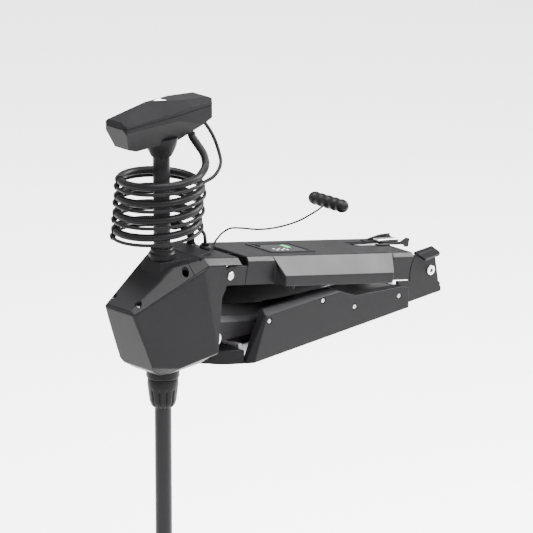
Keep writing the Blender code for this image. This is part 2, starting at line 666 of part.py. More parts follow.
def steering_drive(housing, sleeve):
    """The servo that turns the shaft: motor, pinion, gear and bearings."""
    motor = turned([(0, 0.145), (0.020, 0.145), (0.022, 0.142), (0.022, 0.088), (0.018, 0.083), (0, 0.083)], 24,
                   centre=(PINION_X, 0, 0))
    servo = keep("steering_motor", motor, "aluminium", housing, smooth=True)
    cutter("motor_spindle", rod(0.0027, 0.1400, 0.1645, 12, centre=(PINION_X, 0, 0)), servo, "UNION")
    pinion = keep("servo_pinion", outline_solid(gear_outline(10, 0.0100, 0.0080), 0.1475, 0.1615, "Z"), "stainless",
                  housing, location=(PINION_X, 0, 0))
    cutter("pinion_bore", rod(0.0030, 0.1, 0.2, 12), pinion)
    gear = keep("steering_gear", outline_solid(gear_outline(40, 0.0400, 0.0378), 0.1490, 0.1600, "Z"), "bronze",
                sleeve)
    cutter("gear_bore", rod(0.0213, 0.1, 0.2, 32), gear)
    tube_mesh = ring(0.0182, 0.0209, 0.0120, 0.2195, 40)
    keep("steering_sleeve", tube_mesh, "stainless", sleeve, smooth=True)
    collar = [(0.0162, 0.2435), (0.0190, 0.2435), (0.0210, 0.2410), (0.0210, 0.2360), (0.0240, 0.2330),
              (0.0240, 0.2230), (0.0162, 0.2230)]
    keep("shaft_top_collar", turned(collar, 40), "black_plastic", sleeve, smooth=True)
    for name, low in (("lower_bearing", 0.0155), ("upper_bearing", 0.2085)):
        keep(name, ring(0.0213, 0.0232, low, low + 0.010, 40), "stainless", housing, smooth=True)
    board = block((-0.0450, -0.0450, 0.0400), (0.0000, -0.0430, 0.1300))
    keep("control_board", board, "circuit_board", housing)


def depth_clamp(parent):
    """The collet that holds the shaft at its depth, and that turns the shaft crosswise as the arm folds."""
    profile = [(0.0160, 0.2220), (0.0178, 0.2220), (0.0178, 0.0100), (0.0300, 0.0100), (0.0306, 0.0080),
               (0.0306, -0.0020), (0.0290, -0.0045), (0.0160, -0.0045)]
    keep("depth_collet", turned(profile, 40), "black_plastic", parent, smooth=True)


def depth_collar(parent):
    """The fluted nut under the housing that clamps the shaft."""
    profile = [(0.0162, -0.0052), (0.0262, -0.0052), (0.0282, -0.0085), (0.0282, -0.0190), (0.0246, -0.0500),
               (0.0222, -0.0580), (0.0200, -0.0605), (0.0162, -0.0605)]
    part = keep("depth_collar", turned(profile, 48), "black_rubber", parent, smooth=True)
    flutes = []
    for count in range(12):
        angle = math.tau * count / 12
        flute = rod(0.0030, -0.0650, -0.0240, 10, centre=(0.0280, 0, 0))
        flute.transform(Matrix.Rotation(angle, 4, "Z"))
        flutes.append(flute)
    cutter("collar_flutes", joined(flutes), part)


# --- coiled cables on the shaft -----------------------------------------------------------------------------


def coil_route(radius, drop, head_points, foot_points, turns):
    """Head end, helix round the shaft going down clockwise, then the end that drops to its gland."""
    steps = round(18 * turns)
    first = math.radians(112)
    helix = []
    for step in range(steps + 1):
        angle = first - math.tau * turns * step / steps
        z = COIL_TOP_Z - drop - COIL_PITCH * turns * step / steps
        drift = -0.010 * step / steps
        helix.append((radius * math.cos(angle) - 0.7 * drift, radius * math.sin(angle) + 0.7 * drift, z))
    return head_points + helix + foot_points


POWER_HEAD_END = [(-0.0542, 0.0238, 0.4440), (-0.0550, 0.036, 0.4320), (-0.0560, 0.052, 0.4150),
                  (-0.0480, 0.063, 0.3980)]
POWER_FOOT_END = [(-0.0720, -0.0300, 0.2620), (-0.0840, -0.0225, 0.2530), (-0.0940, -0.0215, 0.2430),
                  (-0.0960, -0.0220, 0.2330)]
DATA_HEAD_END = [(-0.086, 0.024, 0.4635), (-0.092, 0.038, 0.4420), (-0.0930, 0.052, 0.4150),
                 (-0.0840, 0.066, 0.3950), (-0.0600, 0.0740, 0.3800)]
DATA_FOOT_END = [(-0.0750, -0.0430, 0.2500), (-0.0980, -0.0420, 0.2480), (-0.1150, -0.0270, 0.2450),
                 (-0.1180, -0.0110, 0.2380), (-0.1140, -0.0030, 0.2280)]


def cables(parent):
    power = coil_route(COIL_RADIUS, 0.0, POWER_HEAD_END, POWER_FOOT_END, COIL_TURNS)
    power = [(-0.0540, 0.0220, 0.4508)] + smooth_line(power, 0.022) + [(-0.0960, -0.0220, 0.2226)]
    keep("power_cable", tube(power, POWER_CABLE_DIAMETER / 2, 2), "black_rubber", parent, smooth=True)
    data = coil_route(COIL_RADIUS + 0.006, 0.0125, DATA_HEAD_END, DATA_FOOT_END, COIL_TURNS - 0.01)
    data = smooth_line(data, 0.018) + [(-0.1130, -0.0020, 0.2184)]
    keep("data_cable", tube(data, DATA_CABLE_DIAMETER / 2, 1), "black_rubber", parent, smooth=True)
    for name, (x, y), low in zip(("power_cable_gland", "data_cable_gland"), CABLE_EXITS, (0.2060, 0.2018)):
        gland = turned([(0.0075, 0.0160), (0.0088, 0.0160), (0.0105, 0.0120), (0.0105, 0.0112),
                        (0.0080, 0.0100), (0.0080, 0), (0.0075, 0)], 20, centre=(x, y, low))
        keep(name, gland, "black_rubber", parent, smooth=True)


# --- pull cable and handle (world axes) ---------------------------------------------------------------------

PULL_ROUTE = [
    (0.2605, -0.009, 0.2045), (0.2480, -0.009, 0.2170), (0.2310, -0.009, 0.2270), (0.2090, -0.009, 0.2300),
    (0.1800, -0.009, 0.2230), (0.1390, -0.009, 0.2105), (0.0980, -0.009, 0.2030), (0.0590, -0.009, 0.2000),
    (0.0260, -0.009, 0.2005), (0.0000, -0.009, 0.2045), (-0.0200, -0.008, 0.2090), (-0.0335, -0.007, 0.2140),
]


def pull_cable(parent, offset):
    route = [tuple(Vector(point) - offset) for point in PULL_ROUTE]
    keep("pull_cable", tube(smooth_line(route, 0.009), PULL_CABLE_DIAMETER / 2, 2), "black_rubber", parent,
         smooth=True)
    handle = turned([(0, 0.047), (0.006, 0.0465), (0.0105, 0.043), (0.0122, 0.036), (0.0115, 0.024),
                     (0.0118, 0.012), (0.0125, 0), (0.0118, -0.012), (0.0115, -0.024), (0.0122, -0.036),
                     (0.0105, -0.043), (0.006, -0.0465), (0, -0.047)], 20, "Y")
    grip = keep("pull_handle", moved(handle, Vector((-0.0470, -0.005, 0.2195)) - offset), "black_rubber", parent,
                smooth=True)
    relief = turned([(0.0022, 0.0120), (0.0034, 0.0120), (0.0052, 0.0020), (0.0052, 0), (0.0022, 0)], 16)
    relief = moved(relief, PULL_EXIT - offset, "Y", PULL_EXIT_TURN)
    keep("pull_cable_boot", relief, "black_rubber", parent, smooth=True)
    return grip


# --- shaft, head and drive unit -----------------------------------------------------------------------------


def head_planes():
    sides = both_sides([
        ((0.114, 0.027, 0.4945), (0.058, 1.0, 0.0)),
        ((0.0, 0.0345, 0.4945), (-0.030, 1.0, 0.0)),
        ((-0.060, 0.0365, 0.4945), (-0.12, 1.0, 0.0)),
        ((-0.097, 0.033, 0.4945), (-0.75, 0.66, 0.0)),
        ((0.112, 0.027, 0.4945), (0.80, 0.60, 0.0)),
        ((0.0, 0.0345, 0.5010), (0.05, 0.62, 0.80)),
        ((-0.060, 0.0365, 0.5010), (-0.10, 0.55, 0.83)),
        ((0.0, 0.0345, 0.4880), (0.06, 0.94, -0.28)),
        ((0.0, 0.0250, 0.4470), (0.02, 0.55, -0.83)),
    ])
    middle = [
        ((0.040, 0, 0.5250), (0.24, 0, 1)),
        ((0.040, 0, 0.5250), (-0.125, 0, 1)),
        ((-0.100, 0, 0.5075), (-0.5, 0, 1)),
        ((0.117, 0, 0.4945), (1, 0, 0.12)),
        ((0.117, 0, 0.4945), (1, 0, -0.42)),
        ((-0.110, 0, 0.4945), (-1, 0, -0.50)),
        ((-0.022, 0, 0.4450), (-0.345, 0, -1)),
        ((0.080, 0, 0.4450), (0.35, 0, -1)),
    ]
    return sides + middle


def head(parent):
    """The cap on top of the shaft, in two shells, with its pointer and heading sensor."""
    low, high = (-0.112, -0.040, 0.4445), (0.120, 0.040, 0.5300)
    lower = keep("head_lower_shell", carved(low, high, head_planes()), "black_plastic", parent)
    neck = turned([(0, 0.452), (0.031, 0.452), (0.0285, 0.4400), (0.0250, 0.4290), (0.0178, 0.4160), (0, 0.4160)], 40)
    cutter("head_neck", neck, lower, "UNION")
    cutter("head_seam_low", block((-0.2, -0.1, 0.4945), (0.2, 0.1, 0.6)), lower)
    inner_low = carved((-0.109, -0.037, 0.4475), (0.117, 0.037, 0.60), head_planes()[:-8] + head_planes()[-5:], 0.003)
    cutter("head_hollow_low", inner_low, lower)
    cutter("neck_bore", rod(SHAFT_RADIUS + 0.0003, 0.40, 0.4325, 40), lower)
    upper = keep("head_upper_shell", carved(low, high, head_planes()), "black_plastic", parent)
    cutter("head_seam_high", block((-0.2, -0.1, 0.3), (0.2, 0.1, 0.4948)), upper)
    inner_high = carved((-0.109, -0.037, 0.40), (0.117, 0.037, 0.5270), head_planes(), 0.003)
    cutter("head_hollow_high", inner_high, upper)
    cutter("pointer_seat", pointer_solid(0.0003, 0.5100, 0.54), upper)
    pointer = keep("head_pointer", pointer_solid(0.0, 0.5150, 0.54), "white_marking", parent)
    cutter("pointer_top", carved((-0.1, -0.05, 0.50), (0.1, 0.05, 0.56), [((0.040, 0, 0.5254), (0.125, 0, -1))]),
           pointer)
    board = block((-0.0600, -0.0200, 0.4640), (0.0600, 0.0200, 0.4660))
    keep("heading_sensor_board", board, "circuit_board", parent)
    eyelet = ring(0.0030, 0.0055, -0.0015, 0.0015, 16, "Y", (-0.0295, 0, 0.4310))
    cutter("tether_eyelet", eyelet, lower, "UNION")


def pointer_solid(grow, low, high):
    """The arrow that shows the drive's heading, pointing forward."""
    outline = [(0.0190 + grow, 0), (-0.0050 - grow, 0.0080 + grow), (-0.0015, 0), (-0.0050 - grow, -0.0080 - grow)]
    return outline_solid(outline, low, high, "Z")


def shaft(parent):
    tube_mesh = ring(0.0125, SHAFT_RADIUS, POD_AXIS_Z + POD_RADIUS + 0.0150, SHAFT_TOP, 40)
    keep("shaft", tube_mesh, "composite", parent, smooth=True)


def drive_unit(parent, propeller):
    """The submerged motor: pod, nose, tail, skeg, windings, rotor and propeller."""
    z = POD_AXIS_Z
    pod = keep("pod_housing", ring(0.0410, POD_RADIUS, -0.120, 0.120, 48, "X"), "black_paint", parent,
               location=(0, 0, z), smooth=True)
    saddle = turned([(0, 0.078), (0.0185, 0.078), (0.0195, 0.070), (0.0230, 0.052), (0.0300, 0.0415), (0, 0.0415)], 40)
    cutter("pod_saddle", saddle, pod, "UNION")
    cutter("saddle_bore", rod(SHAFT_RADIUS + 0.0003, 0.0595, 0.1, 40), pod)
    cutter("wire_way", rod(0.0080, 0.0300, 0.1, 20), pod)
    nose = [(0, 0.2250)]
    for step in range(1, 9):
        angle = math.radians(90 - 90 * step / 8)
        nose.append((POD_RADIUS * math.cos(angle), 0.1203 + 0.1047 * math.sin(angle)))
    nose += [(0.0407, 0.1203), (0.0407, 0.1100), (0, 0.1100)]
    keep("pod_nose", turned(nose, 48, "X"), "black_paint", parent, location=(0, 0, z), smooth=True)
    tail = [(0.0083, -0.1100), (0.0407, -0.1100), (0.0407, -0.1203), (POD_RADIUS, -0.1203), (0.0430, -0.1450),
            (0.0380, -0.1700), (0.0345, -0.1830), (0.0083, -0.1830)]
    keep("pod_tail", turned(tail, 48, "X"), "black_paint", parent, location=(0, 0, z), smooth=True)
    fin = [(0.060, -0.0435), (-0.085, -0.0435), (-0.100, -0.135)] + arc((-0.083, -0.135), 0.017, 180, 270, 4)
    fin += [(-0.050, -0.152), (0.010, -0.100)]
    skeg = keep("skeg", outline_solid(fin, -0.0045, 0.0045, "Y"), "black_plastic", parent, location=(0, 0, z))
    cutter("skeg_seat", rod(POD_RADIUS + 0.0003, -0.2, 0.2, 48, "X"), skeg)
    bevel(skeg, 0.0025)
    stator = ring(0.0310, 0.0400, -0.060, 0.060, 32, "X")
    keep("motor_windings", stator, "copper_winding", parent, location=(0, 0, z), smooth=True)
    rotor = ring(0.0083, 0.0300, -0.058, 0.058, 32, "X")
    keep("motor_rotor", rotor, "stainless", propeller, smooth=True)
    keep("propeller_shaft", rod(0.0080, -0.2470, 0.1000, 20, "X"), "stainless", propeller, smooth=True)
    make_propeller(propeller)
    nut = keep("propeller_nut", rod(0.0150, -0.2440, -0.2353, 6, "X"), "stainless", propeller)
    cutter("nut_bore", rod(0.0084, -0.30, -0.20, 24, "X"), nut)


def make_propeller(parent):
    """A hub with three swept blades."""
    hub = turned([(0.0083, -0.1880), (0.0340, -0.1880), (0.0330, -0.2100), (0.0260, -0.2350), (0.0083, -0.2350)],
                 36, "X")
    part = keep("propeller", hub, "composite", parent)
    for count in range(3):
        outline = [(-0.014, 0.026), (0.014, 0.026), (0.034, 0.070), (0.036, 0.105), (0.022, 0.127), (0.000, 0.134),
                   (-0.020, 0.122), (-0.030, 0.090), (-0.024, 0.055)]
        blade = outline_solid(outline, -0.0022, 0.0022, "Z")
        builder = bmesh.new()
        builder.from_mesh(blade)
        bmesh.ops.triangulate(builder, faces=[face for face in builder.faces if len(face.verts) > 4])
        blade = to_mesh(builder)
        for vertex in blade.vertices:
            turn = math.radians(62 - 260 * (vertex.co.y - 0.03))
            across = vertex.co.x
            depth = vertex.co.z
            vertex.co = (
                -0.2110 + across * math.sin(turn) * 0.9 + depth * math.cos(turn),
                across * math.cos(turn) - depth * math.sin(turn),
                vertex.co.y,
            )
        blade.transform(Matrix.Rotation(math.tau * count / 3, 4, "X"))
        cutter("blade", blade, part, "UNION")


def main():
    base = frame("base_axes", (0, 0, 0))
    arm = frame("stow_axis", REAR_PIVOT, ARM_SLOPE)
    link = frame("lower_link_axis", LINK_FRONT, LINK_SLOPE)
    housing = frame("steering_housing_axes", (SHAFT_X, 0, 0))
    sleeve = frame("steering_axis", (0, 0, 0), parent=housing)
    propeller = frame("propeller_axis", (SHAFT_X, 0, POD_AXIS_Z))
    base_frame(base)
    nose_cap(base)
    side_cover("side_cover_port", 1, base)
    side_cover("side_cover_starboard", -1, base)
    rear_bracket("rear_bracket_port", 1, base)
    rear_bracket("rear_bracket_starboard", -1, base)
    stow_axles(base)
    arm_shell(arm)
    arm_fork(arm)
    arm_lugs(arm)
    front_hinge(arm)
    display(arm)
    release_lever(arm)
    lower_link(link)
    upper_cover(housing)
    lower_case(housing)
    housing_bracket(housing)
    steering_drive(housing, sleeve)
    depth_clamp(sleeve)
    depth_collar(sleeve)
    cables(housing)
    pull_cable(housing, Vector((SHAFT_X, 0, 0)))
    shaft(sleeve)
    head(sleeve)
    drive_unit(sleeve, propeller)


clear_scene()
PARTS = new_collection("trolling_motor")
CUTTERS = new_collection("trolling_motor_cutters")
MATERIALS = make_materials()
main()
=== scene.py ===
"""Bow-mount electric trolling motor: the fine surface over the CAD frame. Metres, +X bow, +Y port, +Z up."""

import json
import math

import bmesh
import bpy
from mathutils import Matrix, Vector


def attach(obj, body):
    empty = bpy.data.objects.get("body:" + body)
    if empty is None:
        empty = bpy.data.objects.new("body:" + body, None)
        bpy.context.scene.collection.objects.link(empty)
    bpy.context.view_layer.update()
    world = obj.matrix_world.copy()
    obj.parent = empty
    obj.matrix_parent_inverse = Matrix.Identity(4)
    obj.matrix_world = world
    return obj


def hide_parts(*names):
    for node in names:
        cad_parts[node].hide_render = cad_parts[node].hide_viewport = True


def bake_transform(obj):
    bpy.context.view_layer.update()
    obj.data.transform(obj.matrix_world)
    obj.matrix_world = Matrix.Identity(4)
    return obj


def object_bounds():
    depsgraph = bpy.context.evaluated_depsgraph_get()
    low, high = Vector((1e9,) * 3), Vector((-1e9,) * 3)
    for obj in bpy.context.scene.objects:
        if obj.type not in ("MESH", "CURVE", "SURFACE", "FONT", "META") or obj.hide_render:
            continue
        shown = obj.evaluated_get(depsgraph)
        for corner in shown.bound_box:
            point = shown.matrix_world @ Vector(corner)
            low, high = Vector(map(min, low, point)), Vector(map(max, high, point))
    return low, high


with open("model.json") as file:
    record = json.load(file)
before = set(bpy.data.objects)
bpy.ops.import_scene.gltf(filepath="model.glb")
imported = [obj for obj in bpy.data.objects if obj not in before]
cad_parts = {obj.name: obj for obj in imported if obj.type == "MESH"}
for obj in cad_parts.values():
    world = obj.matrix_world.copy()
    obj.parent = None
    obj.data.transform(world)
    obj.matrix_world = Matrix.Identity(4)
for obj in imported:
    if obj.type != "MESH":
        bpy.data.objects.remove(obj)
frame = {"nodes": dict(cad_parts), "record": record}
RECORD = frame["record"]
BODY_OF = {node: body for body, nodes in RECORD["behaviour"]["bodies"].items() for node in nodes}
SLOT_OF = {item["node"]: item["material_slot"] for item in RECORD["subparts"]}
JOINT_AT = {joint["name"]: joint.get("pos_m") for joint in RECORD["behaviour"]["joints"]}
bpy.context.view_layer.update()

REAR_PIVOT = Vector(JOINT_AT["stow"])
FRONT_PIVOT = Vector(JOINT_AT["housing_level"])
SHAFT_X = JOINT_AT["steer"][0]
POD_Z = JOINT_AT["propeller_spin"][2]
ALONG_ARM = FRONT_PIVOT - REAR_PIVOT
ARM_SLOPE = math.atan2(ALONG_ARM.z, ALONG_ARM.x)
ARM = Matrix.Translation(REAR_PIVOT) @ Matrix.Rotation(-ARM_SLOPE, 4, "Y")
HOUSING = Matrix.Translation((SHAFT_X, 0, 0))
POD = Matrix.Translation((SHAFT_X, 0, POD_Z))
WORLD = Matrix.Identity(4)

# --- camera ------------------------------------------------------------------------------------------------

CAMERA_AZIMUTH = math.radians(43.7)
CAMERA_ELEVATION = math.radians(19.2)
CAMERA_DISTANCE = 9.567
LOOK_AT = Vector((0.125, 0, 0.137))


def add_camera():
    flat = math.cos(CAMERA_ELEVATION)
    back = Vector((math.cos(CAMERA_AZIMUTH) * flat, math.sin(CAMERA_AZIMUTH) * flat,
                   math.sin(CAMERA_ELEVATION)))
    data = bpy.data.cameras.new("camera")
    data.lens = 351.2
    data.sensor_width = 36
    data.clip_end = 100
    camera = bpy.data.objects.new("camera", data)
    bpy.context.scene.collection.objects.link(camera)
    camera.location = LOOK_AT + CAMERA_DISTANCE * back
    camera.rotation_euler = back.to_track_quat("Z", "Y").to_euler()
    bpy.context.scene.camera = camera


add_camera()

# --- mesh helpers ------------------------------------------------------------------------------------------


def to_mesh(builder):
    mesh = bpy.data.meshes.new("mesh")
    bmesh.ops.recalc_face_normals(builder, faces=builder.faces)
    builder.to_mesh(mesh)
    builder.free()
    return mesh


def joined(meshes):
    builder = bmesh.new()
    for mesh in meshes:
        builder.from_mesh(mesh)
    return to_mesh(builder)


def moved(mesh, location=(0, 0, 0), axis=None, angle=0.0):
    if axis:
        mesh.transform(Matrix.Rotation(angle, 4, axis))
    mesh.transform(Matrix.Translation(Vector(location)))
    return mesh


def on_side(mesh, side):
    if side < 0:
        mesh.transform(Matrix.Scale(-1, 4, (0, 1, 0)))
        mesh.flip_normals()
    return mesh


def block(low, high):
    builder = bmesh.new()
    bmesh.ops.create_cube(builder, size=1.0)
    bmesh.ops.scale(builder, vec=Vector(high) - Vector(low), verts=builder.verts)
    bmesh.ops.translate(builder, vec=(Vector(high) + Vector(low)) / 2, verts=builder.verts)
    return to_mesh(builder)


def sliced(mesh, planes, inset=0.0):
    builder = bmesh.new()
    builder.from_mesh(mesh)
    for point, normal in planes:
        normal = Vector(normal).normalized()
        cut = bmesh.ops.bisect_plane(
            builder,
            geom=builder.verts[:] + builder.edges[:] + builder.faces[:],
            dist=1e-6,
            plane_co=Vector(point) - inset * normal,
            plane_no=normal,
            clear_outer=True,
        )
        edges = [item for item in cut["geom_cut"] if isinstance(item, bmesh.types.BMEdge)]
        if edges:
            bmesh.ops.contextual_create(builder, geom=edges)
    bmesh.ops.remove_doubles(builder, verts=builder.verts, dist=1e-6)
    return to_mesh(builder)


def carved(low, high, planes, inset=0.0):
    return sliced(block(low, high), planes, inset)


def both_sides(planes):
    mirrored = [((x, -y, z), (nx, -ny, nz)) for (x, y, z), (nx, ny, nz) in planes]
    return list(planes) + mirrored


def outline_solid(outline, start, end, axis):
    """A filled outline extruded along an axis: (x, z) for Y, (y, z) for X and (x, y) for Z."""
    builder = bmesh.new()
    place = {"Y": lambda u, v, w: (u, w, v), "X": lambda u, v, w: (w, u, v), "Z": lambda u, v,
             w: (u, v, w)}[axis]
    face = builder.faces.new([builder.verts.new(place(u, v, start)) for u, v in outline])
    raised = bmesh.ops.extrude_face_region(builder, geom=[face])
    shift = Vector(place(0, 0, end - start))
    corners = [v for v in raised["geom"] if isinstance(v, bmesh.types.BMVert)]
    bmesh.ops.translate(builder, vec=shift, verts=corners)
    return to_mesh(builder)


def turned(profile, sides=64, axis="Z", centre=(0, 0, 0), swell=None):
    """A closed (radius, height) profile turned round an axis; swell(turn, height) scales the radius."""
    builder = bmesh.new()
    rows = []
    for radius, height in profile:
        row = []
        for step in range(sides if radius > 1e-6 else 1):
            turn = math.tau * step / sides
            r = radius * (swell(turn, height) if swell else 1.0)
            row.append(builder.verts.new((r * math.cos(turn), r * math.sin(turn), height)))
        rows.append(row)
    closed = profile[0][0] > 1e-6 or profile[-1][0] > 1e-6
    pairs = list(zip(rows, rows[1:]))
    if closed:
        pairs.append((rows[-1], rows[0]))
    for one, two in pairs:
        for step in range(sides):
            corners = [one[step % len(one)], one[(step + 1) % len(one)]]
            corners += [two[(step + 1) % len(two)], two[step % len(two)]]
            unique = list(dict.fromkeys(corners))
            if len(unique) > 2:
                builder.faces.new(unique)
    mesh = to_mesh(builder)
    turn = {"X": ("Y", math.radians(90)), "Y": ("X", math.radians(-90)), "Z": ("Z", 0.0)}[axis]
    return moved(mesh, centre, *turn)


def rod(radius, start, end, sides=48, axis="Z", centre=(0, 0, 0), edge=0.0):
    if edge:
        profile = [(0, end), (radius - edge, end), (radius - edge * 0.3, end - edge * 0.3),
                   (radius, end - edge),
                   (radius, start + edge), (radius - edge * 0.3, start + edge * 0.3), (radius - edge, start),
                   (0, start)]
    else:
        profile = [(0, end), (radius, end), (radius, start), (0, start)]
    return turned(profile, sides, axis, centre)


def ring(inner, outer, start, end, sides=64, axis="Z", centre=(0, 0, 0), edge=0.0005):
    profile = [(inner, end), (outer - edge, end), (outer, end - edge), (outer, start + edge),
               (outer - edge, start),
               (inner, start)]
    return turned(profile, sides, axis, centre)


def smooth_line(points, spacing):
    """Evenly spaced points on a Catmull-Rom curve through the given ones."""
    points = [Vector(point) for point in points]
    ends = [2 * points[0] - points[1]] + points + [2 * points[-1] - points[-2]]
    fine = []
    for a, b, c, d in zip(ends, ends[1:], ends[2:], ends[3:]):
        for step in range(20):
            t = step / 20
            fine.append(
                0.5 * (2 * b + (c - a) * t + (2 * a - 5 * b + 4 * c - d) * t * t
                       + (3 * b - a - 3 * c + d) * t**3)
            )
    fine.append(points[-1])
    kept = [fine[0]]
    for point in fine:
        if (point - kept[-1]).length >= spacing:
            kept.append(point)
    kept[-1] = fine[-1]
    return kept


def tube(points, radius, sides=16):
    """A round tube along a line, its rings carried without twist."""
    builder = bmesh.new()
    rings = []
    up = None
    for index, point in enumerate(points):
        before = points[max(index - 1, 0)]
        after = points[min(index + 1, len(points) - 1)]
        along = (after - before).normalized()
        up = along.orthogonal() if up is None else (up - along * up.dot(along))
        up.normalize()
        across = along.cross(up)
        turns = [math.tau * step / sides for step in range(sides)]
        spokes = [math.cos(a) * up + math.sin(a) * across for a in turns]
        rings.append([builder.verts.new(point + radius * spoke) for spoke in spokes])
    for one, two in zip(rings, rings[1:]):
        for step in range(sides):
            following = (step + 1) % sides
            builder.faces.new((one[step], one[following], two[following], two[step]))
    builder.faces.new(rings[0])
    builder.faces.new(rings[-1])
    return to_mesh(builder)


def combined(mesh, tools, operation="DIFFERENCE"):
    """The mesh after exact Booleans with a list of tool meshes."""
    holder = bpy.data.objects.new("holder", mesh)
    bpy.context.scene.collection.objects.link(holder)
    helpers = []
    for tool in tools:
        helper = bpy.data.objects.new("tool", tool)
        bpy.context.scene.collection.objects.link(helper)
        helpers.append(helper)
        modifier = holder.modifiers.new("Boolean", "BOOLEAN")
        modifier.operation = operation
        modifier.solver = "EXACT"
        modifier.object = helper
    bpy.context.view_layer.update()
    graph = bpy.context.evaluated_depsgraph_get()
    result = bpy.data.meshes.new_from_object(holder.evaluated_get(graph))
    for item in [holder] + helpers:
        bpy.data.objects.remove(item, do_unlink=True)
    return result


def cleaned(mesh, flat=1.0):
    """Coincident points merged and flat regions made single faces."""
    builder = bmesh.new()
    builder.from_mesh(mesh)
    bmesh.ops.remove_doubles(builder, verts=builder.verts, dist=3e-5)
    bmesh.ops.dissolve_limit(
        builder, angle_limit=math.radians(flat), verts=builder.verts, edges=builder.edges, delimit=set()
    )
    return to_mesh(builder)


def rounded(mesh, width, segments=3, angle=30.0, clamp=False):
    """Edges sharper than an angle rounded over."""
    builder = bmesh.new()
    builder.from_mesh(mesh)
    least = math.radians(angle)
    edges = [e for e in builder.edges if len(e.link_faces) == 2 and e.calc_face_angle(0) > least]
    bmesh.ops.bevel(
        builder, geom=edges, offset=width, offset_type="OFFSET", segments=segments, profile=0.5,
        affect="EDGES",
        clamp_overlap=clamp, miter_outer="SHARP",
    )
    bmesh.ops.remove_doubles(builder, verts=builder.verts, dist=1e-6)
    return to_mesh(builder)


def piece(name, mesh, material, body=None, node=None, place=WORLD, sharp=38.0, weighted=True):
    """A visible piece on a body; with a node, it stands for that CAD node."""
    nodes = [node] if isinstance(node, str) else list(node or [])
    body = body or BODY_OF[nodes[0]]
    if place is not WORLD:
        mesh.transform(place)
    mesh.name = name
    mesh.materials.clear()
    mesh.materials.append(MATERIALS[material])
    for face in mesh.polygons:
        face.use_smooth = True
        face.material_index = 0
    mesh.set_sharp_from_angle(angle=math.radians(sharp))
    item = bpy.data.objects.new(name, mesh)
    bpy.context.scene.collection.objects.link(item)
    if weighted:
        modifier = item.modifiers.new("Normals", "WEIGHTED_NORMAL")
        modifier.keep_sharp = True
    if body != "blend":
        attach(item, body)
    if nodes:
        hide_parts(*nodes)
    return item


def refined(node, width=0.0008, segments=2, angle=30.0, flat=1.0):
    """The CAD node's own shape with its edges rounded over."""
    source = frame["nodes"][node].data
    mesh = bpy.data.meshes.new(node)
    builder = bmesh.new()
    builder.from_mesh(source)
    builder.to_mesh(mesh)
    builder.free()
    mesh = rounded(cleaned(mesh, flat), width, segments, angle)
    return piece(node + "_finish", mesh, SLOT_OF[node], node=node)


# --- materials ---------------------------------------------------------------------------------------------


def surface(name, dark, light, rough=(0.4, 0.6), metal=0.0, grain=700.0, bump=0.08, patch=9.0,
            stretch=(1, 1, 1),
            specular=0.5, glow=0.0):
    """Colour drifting between two tones in soft patches, with a fine grain in roughness and bump."""
    material = bpy.data.materials.new(name)
    material.use_nodes = True
    nodes, links = material.node_tree.nodes, material.node_tree.links
    shader = nodes["Principled BSDF"]
    shader.inputs["Metallic"].default_value = metal
    shader.inputs["Specular IOR Level"].default_value = specular
    coordinates = nodes.new("ShaderNodeTexCoord")
    mapping = nodes.new("ShaderNodeMapping")
    mapping.inputs["Scale"].default_value = stretch
    links.new(coordinates.outputs["Object"], mapping.inputs["Vector"])
    tones = nodes.new("ShaderNodeTexNoise")
    tones.inputs["Scale"].default_value = patch
    tones.inputs["Detail"].default_value = 5
    links.new(mapping.outputs["Vector"], tones.inputs["Vector"])
    fine = nodes.new("ShaderNodeTexNoise")
    fine.inputs["Scale"].default_value = grain
    fine.inputs["Detail"].default_value = 3
    links.new(mapping.outputs["Vector"], fine.inputs["Vector"])
    mixed = nodes.new("ShaderNodeMix")
    mixed.data_type = "FLOAT"
    mixed.inputs["Factor"].default_value = 0.35
    links.new(tones.outputs["Fac"], mixed.inputs["A"])
    links.new(fine.outputs["Fac"], mixed.inputs["B"])
    ramp = nodes.new("ShaderNodeValToRGB")
    ramp.color_ramp.elements[0].position = 0.35
    ramp.color_ramp.elements[0].color = (*dark, 1)
    ramp.color_ramp.elements[1].position = 0.65
    ramp.color_ramp.elements[1].color = (*light, 1)
    links.new(mixed.outputs["Result"], ramp.inputs["Fac"])
    links.new(ramp.outputs["Color"], shader.inputs["Base Color"])
    spread = nodes.new("ShaderNodeMapRange")
    spread.inputs["From Min"].default_value = 0.3
    spread.inputs["From Max"].default_value = 0.7
    spread.inputs["To Min"].default_value = rough[0]
    spread.inputs["To Max"].default_value = rough[1]
    links.new(mixed.outputs["Result"], spread.inputs["Value"])
    links.new(spread.outputs["Result"], shader.inputs["Roughness"])
    relief = nodes.new("ShaderNodeBump")
    relief.inputs["Strength"].default_value = bump
    relief.inputs["Distance"].default_value = 0.0004
    links.new(fine.outputs["Fac"], relief.inputs["Height"])
    links.new(relief.outputs["Normal"], shader.inputs["Normal"])
    if glow:
        shader.inputs["Emission Color"].default_value = (*light, 1)
        shader.inputs["Emission Strength"].default_value = glow
    return material


